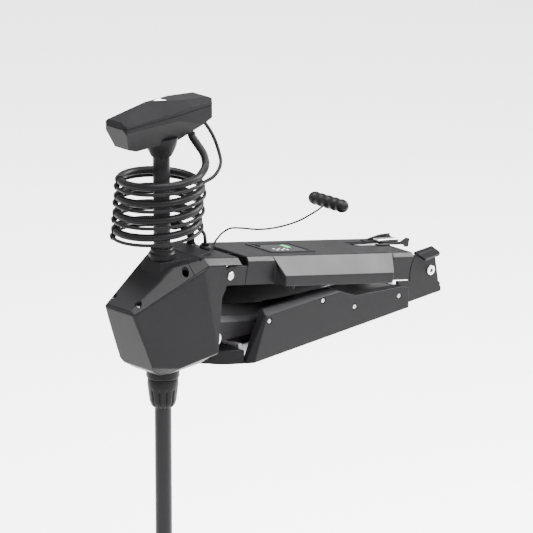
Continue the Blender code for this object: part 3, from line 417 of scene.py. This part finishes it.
MATERIALS = {
    # name, dark and light tone,
    # roughness range, metal, grain, bump, patch, stretch
    "black_paint": surface(
        "black_paint", (0.0028, 0.0026, 0.0030), (0.0040, 0.0037, 0.0042),
        (0.36, 0.46), 0.0, 900, 0.14, specular=0.075,
    ),
    "black_plastic": surface(
        "black_plastic", (0.0030, 0.0028, 0.0032), (0.0043, 0.0040, 0.0045),
        (0.38, 0.48), 0.0, 1100, 0.16, specular=0.070,
    ),
    "stainless": surface(
        "stainless", (0.34, 0.34, 0.335), (0.42, 0.42, 0.41),
        (0.20, 0.34), 1.0, 400, 0.05, 30, (1, 1, 12),
    ),
    "aluminium": surface(
        "aluminium", (0.44, 0.44, 0.45), (0.54, 0.54, 0.55),
        (0.36, 0.50), 1.0, 700, 0.10,
    ),
    "black_rubber": surface(
        "black_rubber", (0.0022, 0.0021, 0.0024), (0.0034, 0.0032, 0.0036),
        (0.36, 0.50), 0.0, 800, 0.12, specular=0.075,
    ),
    "display_lens": surface(
        "display_lens", (0.004, 0.004, 0.005), (0.006, 0.006, 0.007),
        (0.10, 0.18), 0.0, 90, 0.01, specular=0.03,
    ),
    "white_marking": surface(
        "white_marking", (0.70, 0.70, 0.70), (0.80, 0.80, 0.80),
        (0.45, 0.55), 0.0, 500, 0.03,
    ),
    "white_nylon": surface(
        "white_nylon", (0.60, 0.60, 0.59), (0.68, 0.68, 0.66),
        (0.42, 0.55), 0.0, 500, 0.05,
    ),
    "bronze": surface(
        "bronze", (0.40, 0.24, 0.10), (0.50, 0.31, 0.13),
        (0.32, 0.46), 1.0, 400, 0.06,
    ),
    "copper_winding": surface(
        "copper_winding", (0.50, 0.18, 0.07), (0.62, 0.25, 0.10),
        (0.28, 0.40), 1.0, 500, 0.30, 9, (0.1, 1, 1),
    ),
    "circuit_board": surface(
        "circuit_board", (0.015, 0.10, 0.04), (0.03, 0.15, 0.06),
        (0.40, 0.55), 0.0, 300, 0.10,
    ),
    "composite": surface(
        "composite", (0.0050, 0.0048, 0.0052), (0.0075, 0.0072, 0.0080),
        (0.24, 0.34), 0.0, 600, 0.06, 12, (1, 1, 0.06), specular=0.075,
    ),
    # painted shade: a near-black tone for the shade in the stow axle ends
    "dark_recess": surface(
        "dark_recess", (0.004, 0.004, 0.004), (0.008, 0.008, 0.008),
        (0.60, 0.80), 0.0, 500, 0.05,
    ),
    "green_light": surface(
        "green_light", (0.05, 0.42, 0.12), (0.10, 0.62, 0.22),
        (0.35, 0.45), 0.0, 400, 0.02, glow=0.3,
    ),
}
for node, item in frame["nodes"].items():
    for place in item.material_slots:
        place.material = MATERIALS[SLOT_OF[node]]

# --- cables: the loose one first, then the coil that follows the shaft -------------------------------------

PULL_ROUTE = [
    (0.2605, -0.009, 0.2045), (0.2480, -0.009, 0.2170), (0.2310, -0.009, 0.2270), (0.2090, -0.009, 0.2300),
    (0.1800, -0.009, 0.2230), (0.1390, -0.009, 0.2105), (0.0980, -0.009, 0.2030), (0.0590, -0.009, 0.2000),
    (0.0260, -0.009, 0.2005), (0.0000, -0.009, 0.2045), (-0.0200, -0.008, 0.2090), (-0.0335, -0.007, 0.2140),
]
PULL_DIAMETER = 0.0036
HANDLE_AT = (-0.0470, -0.005, 0.2195)


def pull_handle():
    """A soft grip with finger ridges, rounded at its ends."""
    profile = [(0, 0.047)]
    for step in range(1, 72):
        across = 0.047 * math.cos(math.pi * step / 72)
        end = min(1.0, (0.047 - abs(across)) / 0.012)
        ridge = 0.0006 * math.cos(across / 0.0085 * math.pi) if abs(across) < 0.034 else 0.0
        profile.append(((0.0122 + ridge) * math.sqrt(max(0.0, 1 - (1 - end) ** 2)), across))
    profile.append((0, -0.047))
    grip = turned(profile, 48, "Y")
    return piece("pull_handle_grip", grip, "black_rubber", node="pull_handle",
                 place=Matrix.Translation(HANDLE_AT))


def pull_cable():
    route = smooth_line(PULL_ROUTE, 0.003)
    mesh = tube(route, PULL_DIAMETER / 2, 12)
    line = piece("pull_cable_line", mesh, "black_rubber", node="pull_cable")
    pull_handle()


pull_cable()

COIL_TOP_Z = 0.386
COIL_PITCH = 0.0315
COIL_TURNS = 3.73
POWER_HEAD_END = [(-0.0540, 0.0222, 0.4516), (-0.0542, 0.0238, 0.4440), (-0.0550, 0.036, 0.4320),
                  (-0.0560, 0.052, 0.4150), (-0.0480, 0.063, 0.3980)]
POWER_FOOT_END = [(-0.0720, -0.0300, 0.2620), (-0.0840, -0.0225, 0.2530), (-0.0940, -0.0215, 0.2430),
                  (-0.0960, -0.0220, 0.2330), (-0.0960, -0.0220, 0.2226)]
DATA_HEAD_END = [(-0.086, 0.024, 0.4640), (-0.092, 0.038, 0.4420), (-0.0930, 0.052, 0.4150),
                 (-0.0840, 0.066, 0.3950), (-0.0600, 0.0740, 0.3800)]
DATA_FOOT_END = [(-0.0750, -0.0430, 0.2500), (-0.0980, -0.0420, 0.2480), (-0.1150, -0.0270, 0.2450),
                 (-0.1180, -0.0110, 0.2380), (-0.1140, -0.0030, 0.2280), (-0.1130, -0.0020, 0.2184)]
COIL_SPLITS = (0.280, 0.300)


def coil_route(radius, drop, head_points, foot_points, turns):
    steps = round(36 * turns)
    first = math.radians(112)
    helix = []
    for step in range(steps + 1):
        angle = first - math.tau * turns * step / steps
        z = COIL_TOP_Z - drop - COIL_PITCH * turns * step / steps
        drift = -0.010 * step / steps
        helix.append((radius * math.cos(angle) - 0.7 * drift, radius * math.sin(angle) + 0.7 * drift, z))
    return head_points + helix + foot_points


def follow_shaft(item):
    """Bakes the piece's placement into its mesh."""
    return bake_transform(item)


def coiled_cable(name, node, route, radius, sides):
    points = smooth_line(route, 0.004)
    spans = [[], [], []]
    for point in points:
        spans[0 if point.z < COIL_SPLITS[0] else 1 if point.z < COIL_SPLITS[1] else 2].append(point)
    spans[2].append(spans[1][0])
    spans[1].append(spans[0][0])
    for index, stretch in enumerate(spans):
        item = piece(f"{name}_{index + 1}", tube(stretch, radius, sides), "black_rubber", "blend", node,
                     HOUSING,
                     weighted=False)
        follow_shaft(item)


coiled_cable("power_cable_coil", "power_cable",
             coil_route(0.074, 0.0, POWER_HEAD_END, POWER_FOOT_END, COIL_TURNS), 0.007, 20)
coiled_cable("data_cable_coil", "data_cable",
             coil_route(0.080, 0.0125, DATA_HEAD_END, DATA_FOOT_END, COIL_TURNS - 0.01), 0.0032, 12)


def coil_point(radius, drop, turns):
    angle = math.radians(112) - math.tau * turns
    drift = -0.010 * turns / COIL_TURNS
    return Vector((radius * math.cos(angle) - 0.7 * drift, radius * math.sin(angle) + 0.7 * drift,
                   COIL_TOP_Z - drop - COIL_PITCH * turns))


def coil_clips():
    """Snap clips that hold the two cables together on each turn."""
    for count in range(4):
        middle = (112 + 40 + 360 * count) / 360
        around = [middle + (step - 6) / 6 * 0.016 for step in range(13)]
        large = tube([coil_point(0.074, 0.0, turns) for turns in around], 0.0086, 20)
        small = tube([coil_point(0.080, 0.0125, turns) for turns in around], 0.0050, 16)
        web = tube([coil_point(0.0745 + 0.005 * t, 0.001 + 0.0115 * t, middle) for t in (0, 0.25, 0.5, 0.75,
                                                                                         1)],
                   0.0052, 12)
        item = piece(f"coil_clip_{count + 1}", joined([large, small, web]), "black_rubber", "blend", None,
                     HOUSING,
                     weighted=False)
        follow_shaft(item)


coil_clips()

# --- steering housing (axes: on the shaft's axis, at deck height) ------------------------------------------

TAN_ARM = math.tan(ARM_SLOPE)
HOUSING_LOW = (-0.135, -0.072, 0.015)
HOUSING_HIGH = (0.110, 0.072, 0.240)
CABLE_EXITS = [(-0.096, -0.022), (-0.113, -0.002)]
HOUSING_SCREWS = [
    (0.092, 0.031, 0.1640), (0.092, -0.031, 0.1640), (-0.006, 0.053, 0.1985), (-0.006, -0.053, 0.1985),
]
PULL_EXIT = Vector((0.2640 - SHAFT_X, -0.009, 0.2010))
SEAM = 0.0009


def housing_planes():
    port = both_sides([
        ((-0.048, 0.072, 0.150), (0.2094, 0.9770, -0.0414)),
        ((-0.048, 0.072, 0.211), (-0.2246, 1.0, 1.0)),
        ((-0.048, 0.072, 0.211), (0.422, 0.773, 0.634)),
        ((0.0645, 0.0366, 0.0305), (0.28, 0.70, -0.62)),
        ((-0.050, 0.0600, 0.0300), (0.0, 0.60, -0.80)),
        ((0.110, 0.034, 0.147), (0.80, 0.55, -0.26)),
    ])
    middle = [
        ((-0.048, 0, 0.224), (-TAN_ARM, 0, 1)),
        ((-0.048, 0, 0.224), (0.158, 0, 1)),
        ((0.009, 0, 0.215), (0.598, 0, 1)),
        ((0.110, 0, 0.147), (0.932, 0, -0.363)),
        ((0.0645, 0, 0.0305), (0.55, 0, -0.83)),
    ]
    return port + middle


def lower_region(lift=0.0):
    return [(-0.200, 0.211 - TAN_ARM * 0.152 + lift), (-0.048, 0.211 + lift), (0.106, 0.149 + lift),
            (0.150, 0.149 + lift), (0.150, -0.05), (-0.200, -0.05)]


def housing_shells():
    outer = rounded(carved(HOUSING_LOW, HOUSING_HIGH, housing_planes()), 0.0022, 4, 5)
    pedestal = rounded(carved((-0.0845, -0.046, 0.196), (0.034, 0.046, 0.2225), both_sides([
        ((0.026, 0.020, 0.2225), (0.33, 0.94, 0.25)),
        ((0, 0.040, 0.2225), (0, 0.97, 0.25)),
    ]) + [((0.0250, 0, 0.2225), (0.95, 0, 0.30))]), 0.0012, 3, 5)
    inner = carved((-0.131, -0.068, 0.0), (0.106, 0.068, 0.236), housing_planes(), 0.004)
    mouth = outline_solid([(-0.150, 0.10), (-0.150, 0.190), (-0.131, 0.2035), (-0.131, 0.10)], -0.0615,
                          0.0615, "Y")
    tools = [outline_solid(lower_region(SEAM), -0.1, 0.1, "Y"), inner, rod(0.0235, 0.1, 0.3, 64), mouth]
    tools += [rod(0.0085, 0.15, 0.3, 32, centre=(x, y, 0)) for x, y in CABLE_EXITS]
    tools += [rod(0.0062, -0.012, 0.03, 32, centre=place) for place in HOUSING_SCREWS]
    tools.append(moved(rod(0.0056, -0.02, 0.02, 32), PULL_EXIT, "Y", math.radians(-43)))
    parting = [(-0.0165, 0.10), (-0.0175, 0.30), (-0.0187, 0.30), (-0.0177, 0.10)]
    groove = combined(outline_solid(parting, -0.1, 0.1, "Y"),
                      [carved((-0.2, -0.2, 0.0), (0.2, 0.2, 0.4), housing_planes(), 0.0015)])
    tools.append(combined(groove, [block((-0.1, -0.047, 0.0), (0.1, 0.047, 0.4))]))
    for side in (1, -1):
        tools.append(block((-0.0420, side * 0.0570 - 0.0022, 0.15), (-0.0375, side * 0.0570 + 0.0022, 0.30)))
    upper = combined(combined(outer.copy(), [pedestal], "UNION"), tools)
    piece("housing_upper_cover_finish", upper, "black_plastic", node="housing_upper_cover", place=HOUSING,
          sharp=30)
    rear = [(-0.20, -0.05), (-0.0690, -0.05), (-0.0690, 0.020), (-0.0720, 0.051), (-0.0810, 0.143)]
    rear += [(-0.0900, 0.155), (-0.0925, 0.165), (-0.0925, 0.30), (-0.20, 0.30)]
    lower = combined(outer, [outline_solid(lower_region(), -0.1, 0.1, "Y")], "INTERSECT")
    lower = combined(lower, [
        outline_solid(rear, -0.1, 0.1, "Y"),
        carved((-0.0525, -0.068, 0.019), (0.106, 0.068, 0.30), housing_planes(), 0.004),
        block((-0.16, -0.0645, -0.02), (-0.0560, 0.0645, 0.30)),
        rod(0.0235, -0.05, 0.1, 64),
    ])
    piece("housing_lower_case_finish", lower, "black_plastic", node="housing_lower_case", place=HOUSING,
          sharp=30)


def hex_socket_screw(head, height, socket=0.55, shank=0.008):
    """A cap screw standing on z = 0, with its hexagonal socket."""
    edge = head * 0.16
    body = turned([(0, height), (head - edge, height), (head - edge * 0.3, height - edge * 0.3),
                   (head, height - edge),
                   (head, 0), (head * 0.5, 0), (head * 0.5, -shank), (0, -shank)], 40)
    return combined(body, [rod(head * socket, height * 0.35, height + 0.01, 6)])


SCREW_SINK = 0.0085


def housing_screws():
    for count, (x, y, z) in enumerate(HOUSING_SCREWS, 1):
        cup = turned([(0.0044, -0.0052), (0.0061, -0.0052), (0.0061, -0.0105), (0, -0.0105), (0, -0.0088),
                      (0.0044, -0.0088)], 32)
        piece(f"housing_screw_seat_{count}", moved(cup, (x, y, z)), "black_plastic", "steering_housing", None,
              HOUSING)
        screw = hex_socket_screw(0.0046, 0.0062)
        piece(f"housing_screw_{count}", moved(screw, (x, y, z - SCREW_SINK)), "stainless", "steering_housing",
              None,
              HOUSING)


housing_shells()
housing_screws()

# --- head --------------------------------------------------------------------------------------------------


def head_planes():
    sides = both_sides([
        ((0.114, 0.027, 0.4945), (0.058, 1.0, 0.0)),
        ((0.0, 0.0345, 0.4945), (-0.030, 1.0, 0.0)),
        ((-0.060, 0.0365, 0.4945), (-0.12, 1.0, 0.0)),
        ((-0.097, 0.033, 0.4945), (-0.75, 0.66, 0.0)),
        ((0.112, 0.027, 0.4945), (0.80, 0.60, 0.0)),
        ((0.0, 0.0345, 0.5010), (0.05, 0.62, 0.80)),
        ((-0.060, 0.0365, 0.5010), (-0.10, 0.55, 0.83)),
        ((0.0, 0.0345, 0.4880), (0.06, 0.94, -0.28)),
        ((0.0, 0.0250, 0.4470), (0.02, 0.55, -0.83)),
    ])
    middle = [
        ((0.040, 0, 0.5250), (0.24, 0, 1)),
        ((0.040, 0, 0.5250), (-0.125, 0, 1)),
        ((-0.100, 0, 0.5075), (-0.5, 0, 1)),
        ((0.117, 0, 0.4945), (1, 0, 0.12)),
        ((0.117, 0, 0.4945), (1, 0, -0.42)),
        ((-0.110, 0, 0.4945), (-1, 0, -0.50)),
        ((-0.022, 0, 0.4450), (-0.345, 0, -1)),
        ((0.080, 0, 0.4450), (0.35, 0, -1)),
    ]
    return sides + middle


def pointer_solid(grow, low, high):
    outline = [(0.0190 + grow, 0), (-0.0050 - grow, 0.0080 + grow), (-0.0015, 0),
               (-0.0050 - grow, -0.0080 - grow)]
    return outline_solid(outline, low, high, "Z")


def head_shells():
    low, high = (-0.112, -0.040, 0.4445), (0.120, 0.040, 0.5300)
    outer = rounded(cleaned(carved(low, high, head_planes()), 0.3), 0.0016, 4, 6, True)
    neck = turned([(0, 0.452), (0.031, 0.452), (0.0298, 0.4450), (0.0285, 0.4400), (0.0270, 0.4340),
                   (0.0250, 0.4290),
                   (0.0215, 0.4215), (0.0192, 0.4170), (0.0186, 0.4160), (0, 0.4160)], 72)
    lower = combined(outer.copy(),
                     [neck, ring(0.0030, 0.0055, -0.0015, 0.0015, 32, "Y", (-0.0295, 0, 0.4310))],
                     "UNION")
    planes = head_planes()[:-8] + head_planes()[-5:]
    inner_low = carved((-0.109, -0.037, 0.4475), (0.117, 0.037, 0.60), planes, 0.003)
    lower = combined(lower,
                     [block((-0.2, -0.1, 0.4942), (0.2, 0.1, 0.6)), inner_low, rod(0.0158, 0.40, 0.4325, 64)])
    piece("head_lower_shell_finish", lower, "black_plastic", node="head_lower_shell", place=HOUSING, sharp=30)
    upper = combined(outer, [
        block((-0.2, -0.1, 0.3), (0.2, 0.1, 0.4952)),
        carved((-0.109, -0.037, 0.40), (0.117, 0.037, 0.5270), head_planes(), 0.003),
        pointer_solid(0.0003, 0.5100, 0.54),
    ])
    piece("head_upper_shell_finish", upper, "black_plastic", node="head_upper_shell", place=HOUSING, sharp=30)
    band = combined(carved(low, high, head_planes(), 0.0012), [
        block((-0.2, -0.1, 0.3), (0.2, 0.1, 0.4930)), block((-0.2, -0.1, 0.4965), (0.2, 0.1, 0.6)),
        carved(low, high, head_planes(), 0.0045),
    ])
    piece("head_seam_seal", band, "black_rubber", "motor_shaft", None, HOUSING)
    refined("head_pointer", 0.0002)


head_shells()

# --- folding arm -------------------------------------------------------------------------------------------


DISPLAY_REAR = 0.300
DISPLAY_FRONT = 0.420


def arm_shell():
    chamfer = Vector((0, 33, 27)).normalized()
    slope = ((0, 0.057, 0.034), chamfer)
    flank = both_sides([slope, ((0.4395, 0.064, 0.0250), (0.90, 0.41, -0.13)),
                        ((0.1127, 0.064, 0.0254), (-0.84, 0.54, 0.0))])
    narrow = carved((0.052, -0.064, -0.018), (0.513, 0.064, 0.034), both_sides([slope]))
    wide = carved((0.100, -0.084, -0.018), (0.480, 0.084, 0.034), flank)
    outer = rounded(cleaned(combined(narrow, [wide], "UNION"), 0.5), 0.0018, 4, 12)
    shell = combined(outer, [
        carved((0.03, -0.061, -0.05), (0.56, 0.061, 0.0305), both_sides([slope]), 0.0035),
        carved((0.112, -0.0805, -0.05), (0.436, 0.0805, 0.0305), flank, 0.0035),
        block((DISPLAY_REAR - 0.0005, -0.0345, 0.02), (DISPLAY_FRONT + 0.0005, 0.0345, 0.05)),
        block((0.04, -0.032, 0.02), (0.150, -0.004, 0.05)),
        rod(0.0585, -0.1, 0.1, 96, "Y"),
    ])
    piece("upper_arm_shell_finish", shell, "black_paint", node="upper_arm_shell", place=ARM, sharp=30)


def display_marks():
    """Small generic icons and lamps printed on the lens."""
    marks, lamps = [], []
    low, high = 0.03440, 0.03458
    for row in range(3):
        x = DISPLAY_FRONT - 0.034 - 0.014 * row
        marks.append(ring(0.0018, 0.0024, low, high, 24, centre=(x, 0.0165, 0), edge=0.00005))
        marks.append(block((x - 0.0022, 0.0060, low), (x + 0.0022, 0.0068, high)))
        marks.append(block((x - 0.0022, 0.0085, low), (x + 0.0022, 0.0093, high)))
    for row in range(5):
        y = -0.0030 - 0.0042 * row
        lamp = block((DISPLAY_REAR + 0.030, y, low), (DISPLAY_REAR + 0.040, y + 0.0022, high))
        lamps.append(rounded(lamp, 0.00008, 1))
    piece("display_icons", joined(marks), "white_marking", "upper_arm", None, ARM)
    piece("status_lamps", joined(lamps), "green_light", "upper_arm", None, ARM)


arm_shell()
display_marks()
for node in ("arm_fork_port", "arm_fork_starboard", "arm_rear_yoke"):
    refined(node, 0.0010, 2, 40)
for node in ("display_bezel", "display_lens", "power_button", "release_bracket"):
    refined(node, 0.0003, 2, 40)
refined("release_lever", 0.0006, 2, 25)
refined("lower_link", 0.0012, 3, 20)

# --- mount base --------------------------------------------------------------------------------------------

COVER_Y = 0.084
COVER_WALL = 0.003
BOLT_POCKET = 0.0020
BOLT_SEAT = 0.0019
COVER_BOLTS = [(0.205, 0.072), (0.062, 0.075), (-0.024, 0.041), (-0.146, 0.031)]


def side_cover(name, side):
    profile = [(-0.174, 0.0005), (0.2584, 0.0005), (0.210, 0.0930), (0.033, 0.0890), (0.022, 0.0850),
               (-0.026, 0.0620), (-0.156, 0.0470), (-0.174, 0.0400)]
    inner = [(-0.171, -0.01), (0.2585, -0.01), (0.2070, 0.0898), (0.033, 0.0860), (0.024, 0.0820),
             (-0.025, 0.0588), (-0.156, 0.0440), (-0.171, 0.0370)]
    toe = ((0.242, COVER_Y, 0.007), (0.575, 0.784, 0.233))
    top = ((0.120, COVER_Y, 0.0822), (-0.014, 0.60, 0.80))
    outer = rounded(sliced(outline_solid(profile, 0.0645, COVER_Y, "Y"), [toe, top]), 0.0014, 3, 8)
    hollow = sliced(outline_solid(inner, 0.0550, COVER_Y - COVER_WALL, "Y"), [toe, top], 0.003)
    tools = [hollow] + [rod(0.0030, 0.05, 0.1, 24, "Y", (x, 0, z)) for x, z in COVER_BOLTS]
    tools += [rod(0.0068, COVER_Y - BOLT_POCKET, 0.1, 32 if x > 0 else 6, "Y", (x, 0, z)) for x,
              z in COVER_BOLTS]
    part = on_side(combined(outer, tools), side)
    piece(name + "_finish", part, "black_plastic", node=name, sharp=30)
    word = name.split("_")[-1]
    for count, (x, z) in enumerate(COVER_BOLTS, 1):
        screw = hex_socket_screw(0.0042, 0.0018, 0.5, 0.011)
        screw.transform(Matrix.Rotation(math.radians(-90), 4, "X"))
        screw = on_side(moved(screw, (x, COVER_Y - BOLT_SEAT, z)), side)
        piece(f"cover_bolt_{word}_{count}", screw, "stainless", "base")


def deck_screws():
    for row, x in enumerate((-0.225, -0.09, 0.06, 0.21), 1):
        for word, y in (("port", 0.035), ("starboard", -0.035)):
            screw = turned([(0, 0.0030), (0.004, 0.0028), (0.0068, 0.0014), (0.0074, 0), (0.0040, 0),
                            (0.0040, -0.0055),
                            (0, -0.0055)], 32)
            screw = combined(screw, [rod(0.0026, 0.0008, 0.01, 6)])
            piece(f"deck_screw_{word}_{row}", moved(screw, (x, y, 0.0062)), "stainless", "base")


side_cover("side_cover_port", 1)
side_cover("side_cover_starboard", -1)
deck_screws()
refined("nose_cap", 0.0012, 3, 20)
refined("rear_bracket_port", 0.0009, 2, 35)
refined("rear_bracket_starboard", 0.0009, 2, 35)
refined("base_frame", 0.0005, 2, 60)
refined("housing_bracket", 0.0008, 2, 45)

# --- shaft, collar and drive unit --------------------------------------------------------------------------


def depth_collar():
    def flute(turn, height):
        depth = 0.085 * max(0.0, min(1.0, (-0.0240 - height) / 0.004))
        return 1 - depth * max(0.0, math.cos(12 * turn)) ** 3

    outer = [(0.0262, -0.0052), (0.0276, -0.0062), (0.0282, -0.0085), (0.0282, -0.0190), (0.0279, -0.0225)]
    outer += [(0.0279 - 0.0033 * step / 14, -0.0225 - 0.0275 * step / 14) for step in range(1, 15)]
    outer += [(0.0236, -0.0530), (0.0222, -0.0580), (0.0200, -0.0605), (0.0178, -0.0609)]
    smooth = turned([(0.0170, -0.0052)] + outer + [(0.0170, -0.0605)], 192, swell=flute)
    piece("depth_collar_grip", smooth, "black_rubber", node="depth_collar", place=HOUSING, weighted=False)


def round_parts():
    collet = [(0.0160, 0.2220), (0.0178, 0.2220), (0.0178, 0.0100), (0.0294, 0.0100), (0.0302, 0.0095),
              (0.0306, 0.0080), (0.0306, -0.0020), (0.0303, -0.0032), (0.0290, -0.0045), (0.0160, -0.0045)]
    piece("depth_collet_finish", turned(collet, 96), "black_plastic", node="depth_collet", place=HOUSING)
    collar = [(0.0162, 0.2435), (0.0184, 0.2435), (0.0190, 0.2432), (0.0206, 0.2415), (0.0210, 0.2405),
              (0.0210, 0.2362), (0.0236, 0.2335), (0.0240, 0.2325), (0.0240, 0.2230), (0.0162, 0.2230)]
    piece("shaft_top_collar_finish", turned(collar, 96), "black_plastic", node="shaft_top_collar",
          place=HOUSING)
    tube_mesh = ring(0.0125, 0.0155, POD_Z + 0.060, 0.432, 96)
    piece("shaft_finish", tube_mesh, "composite", node="shaft", place=HOUSING)
    for node, (x, y), low in zip(("power_cable_gland", "data_cable_gland"), CABLE_EXITS, (0.2060, 0.2018)):
        gland = [(0.0075, 0.0160), (0.0082, 0.0160), (0.0088, 0.0156), (0.0103, 0.0126), (0.0105, 0.0120),
                 (0.0105, 0.0112), (0.0080, 0.0100), (0.0080, 0), (0.0075, 0)]
        piece(node + "_finish", turned(gland, 48, centre=(x, y, low)), "black_rubber", node=node,
              place=HOUSING)


def drive_unit():
    body = turned([(0.0410, 0.120), (0.0447, 0.120), (0.0450, 0.1195), (0.0450, -0.1195), (0.0447, -0.120),
                   (0.0410, -0.120)], 96, "X")
    saddle = [(0, 0.078), (0.0180, 0.078), (0.0185, 0.0776)]
    saddle += [(0.0195 + 0.0120 * t**2.2, 0.0720 - 0.0330 * t) for t in [step / 12 for step in range(13)]]
    saddle.append((0, 0.0390))
    pod = combined(body, [turned(saddle, 96)], "UNION")
    pod = combined(pod, [rod(0.0158, 0.0595, 0.1, 64), rod(0.0080, 0.0300, 0.1, 32)])
    piece("pod_housing_finish", pod, "black_paint", node="pod_housing", place=POD)
    nose = [(0, 0.2250)]
    for step in range(1, 25):
        angle = math.radians(90 - 90 * step / 24)
        nose.append((0.045 * math.cos(angle), 0.1203 + 0.1047 * math.sin(angle)))
    nose += [(0.0407, 0.1203), (0.0407, 0.1100), (0, 0.1100)]
    piece("pod_nose_finish", turned(nose, 96, "X"), "black_paint", node="pod_nose", place=POD)
    tail = [(0.0083, -0.1100), (0.0407, -0.1100), (0.0407, -0.1203), (0.0447, -0.1203), (0.0450, -0.1208)]
    tail += [(0.045 - 0.0105 * t**1.5, -0.1203 - 0.0622 * t) for t in [step / 12 for step in range(1, 13)]]
    tail += [(0.0335, -0.1830), (0.0083, -0.1830)]
    piece("pod_tail_finish", turned(tail, 96, "X"), "black_paint", node="pod_tail", place=POD)
    refined("skeg", 0.0008, 3, 20)
    hub = [(0.0083, -0.1880), (0.0330, -0.1880), (0.0338, -0.1885), (0.0340, -0.1895), (0.0337, -0.2000),
           (0.0330, -0.2100), (0.0305, -0.2220), (0.0275, -0.2320), (0.0262, -0.2345), (0.0250, -0.2350),
           (0.0083, -0.2350)]
    blades = [turned(hub, 96, "X")]
    for count in range(3):
        blades.append(moved(blade(), (0, 0, 0), "X", math.tau * count / 3))
    piece("propeller_finish", joined(blades), "composite", node="propeller", place=POD, sharp=50)
    refined("propeller_nut", 0.0006, 2)


BLADE_STATIONS = [(0.0255, -0.0145, 0.0145), (0.035, -0.0170, 0.0185), (0.055, -0.0240, 0.0270),
                  (0.075, -0.0275, 0.0345), (0.092, -0.0295, 0.0357), (0.108, -0.0262, 0.0345),
                  (0.120, -0.0215, 0.0275), (0.128, -0.0130, 0.0195), (0.1325, -0.0040, 0.0100)]


def blade():
    """A swept blade with an aerofoil section that thins towards its tip."""
    builder = bmesh.new()
    sections = []
    for radius, tail_edge, lead_edge in BLADE_STATIONS:
        turn = math.radians(62 - 260 * (radius - 0.03))
        thick = 0.0030 * (1 - 0.7 * (radius - 0.0255) / 0.107)
        loop = []
        for step in range(20):
            angle = math.tau * step / 20
            across = (lead_edge + tail_edge) / 2 + (lead_edge - tail_edge) / 2 * math.cos(angle)
            depth = thick * math.sin(angle) * (0.65 + 0.35 * math.cos(angle))
            loop.append(builder.verts.new((
                -0.2110 + across * math.sin(turn) * 0.9 + depth * math.cos(turn),
                across * math.cos(turn) - depth * math.sin(turn),
                radius,
            )))
        sections.append(loop)
    for one, two in zip(sections, sections[1:]):
        for step in range(20):
            following = (step + 1) % 20
            builder.faces.new((one[step], one[following], two[following], two[step]))
    builder.faces.new(sections[0])
    builder.faces.new(sections[-1])
    return to_mesh(builder)


depth_collar()
round_parts()
drive_unit()
def painted_axle_end_shades():
    """Painted shade: thin dark discs with a hex mark in the ends of the stow axles, inside the white washers.
    """
    for word, side in (("port", 1), ("starboard", -1)):
        shade_disc = rod(0.0037, 0.0672, 0.0682, 40, edge=0.0004)
        shade_disc = combined(shade_disc, [rod(0.0018, 0.0676, 0.07, 6)])
        shade_disc.transform(Matrix.Rotation(math.radians(-90), 4, "X"))
        # painted shade: each dark disc stands in for the shade in an axle end
        piece(f"painted_axle_end_shade_{word}", on_side(moved(shade_disc, (REAR_PIVOT.x, 0, REAR_PIVOT.z)), side), "dark_recess",
              "base")


painted_axle_end_shades()
ROUND_PINS = [f"{pin}_{word}" for pin in ("front_hinge_bolt", "link_front_pin") for word in ("port",
                                                                                             "starboard")]
for node in ROUND_PINS:
    refined(node, 0.0003, 2, 30)

# --- floor, light ------------------------------------------------------------------------------------------


WORLD_LEVEL = 2.6
FLOOR_RADIUS = 9.0


def add_stage():
    floor_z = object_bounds()[0][2] - 0.0005
    builder = bmesh.new()
    bmesh.ops.create_circle(builder, cap_ends=True, segments=128, radius=FLOOR_RADIUS)
    floor = bpy.data.objects.new("floor", to_mesh(builder))
    floor.location = (0, 0, floor_z)
    bpy.context.scene.collection.objects.link(floor)
    floor.data.materials.append(surface("floor_finish", (0.94, 0.94, 0.94), (0.96, 0.96, 0.96), (0.80, 0.90),
                                        0.0, 40,
                                        0.02, 0.6, specular=0.2))


def add_light(name, direction, distance, size, power):
    data = bpy.data.lights.new(name, "AREA")
    data.shape = "DISK"
    data.size = size
    data.energy = power
    light = bpy.data.objects.new(name, data)
    bpy.context.scene.collection.objects.link(light)
    aim = Vector(direction).normalized()
    light.location = Vector((0.1, 0, 0.1)) + aim * distance
    light.rotation_euler = aim.to_track_quat("Z", "Y").to_euler()


def add_world():
    """White all round, but dimmer low down on the starboard side, so that flat tops stay dark."""
    world = bpy.data.worlds.new("world")
    bpy.context.scene.world = world
    world.use_nodes = True
    nodes, links = world.node_tree.nodes, world.node_tree.links
    shade = nodes["Background"]
    shade.inputs["Color"].default_value = (1, 1, 1, 1)
    coordinates = nodes.new("ShaderNodeTexCoord")
    towards = nodes.new("ShaderNodeVectorMath")
    towards.operation = "DOT_PRODUCT"
    links.new(coordinates.outputs["Generated"], towards.inputs[0])
    towards.inputs[1].default_value = Vector((-0.72, -0.66, -0.10)).normalized()
    level = nodes.new("ShaderNodeMapRange")
    level.interpolation_type = "SMOOTHSTEP"
    level.inputs["From Min"].default_value = 0.1
    level.inputs["From Max"].default_value = 0.9
    level.inputs["To Min"].default_value = WORLD_LEVEL
    level.inputs["To Max"].default_value = WORLD_LEVEL * 0.35
    links.new(towards.outputs["Value"], level.inputs["Value"])
    links.new(level.outputs["Result"], shade.inputs["Strength"])


LIGHTS = [
    # name, direction, distance (m), size (m), power (W)
    ("rear_key", (-0.84, 0.30, 0.46), 3.4, 1.5, 380),
    ("side_key", (0.02, 0.68, 0.73), 3.4, 1.6, 330),
    ("top", (0.15, -0.1, 1.0), 5.0, 3.6, 1300),
]


def add_lights():
    for light in LIGHTS:
        add_light(*light)


add_stage()
add_world()
add_lights()
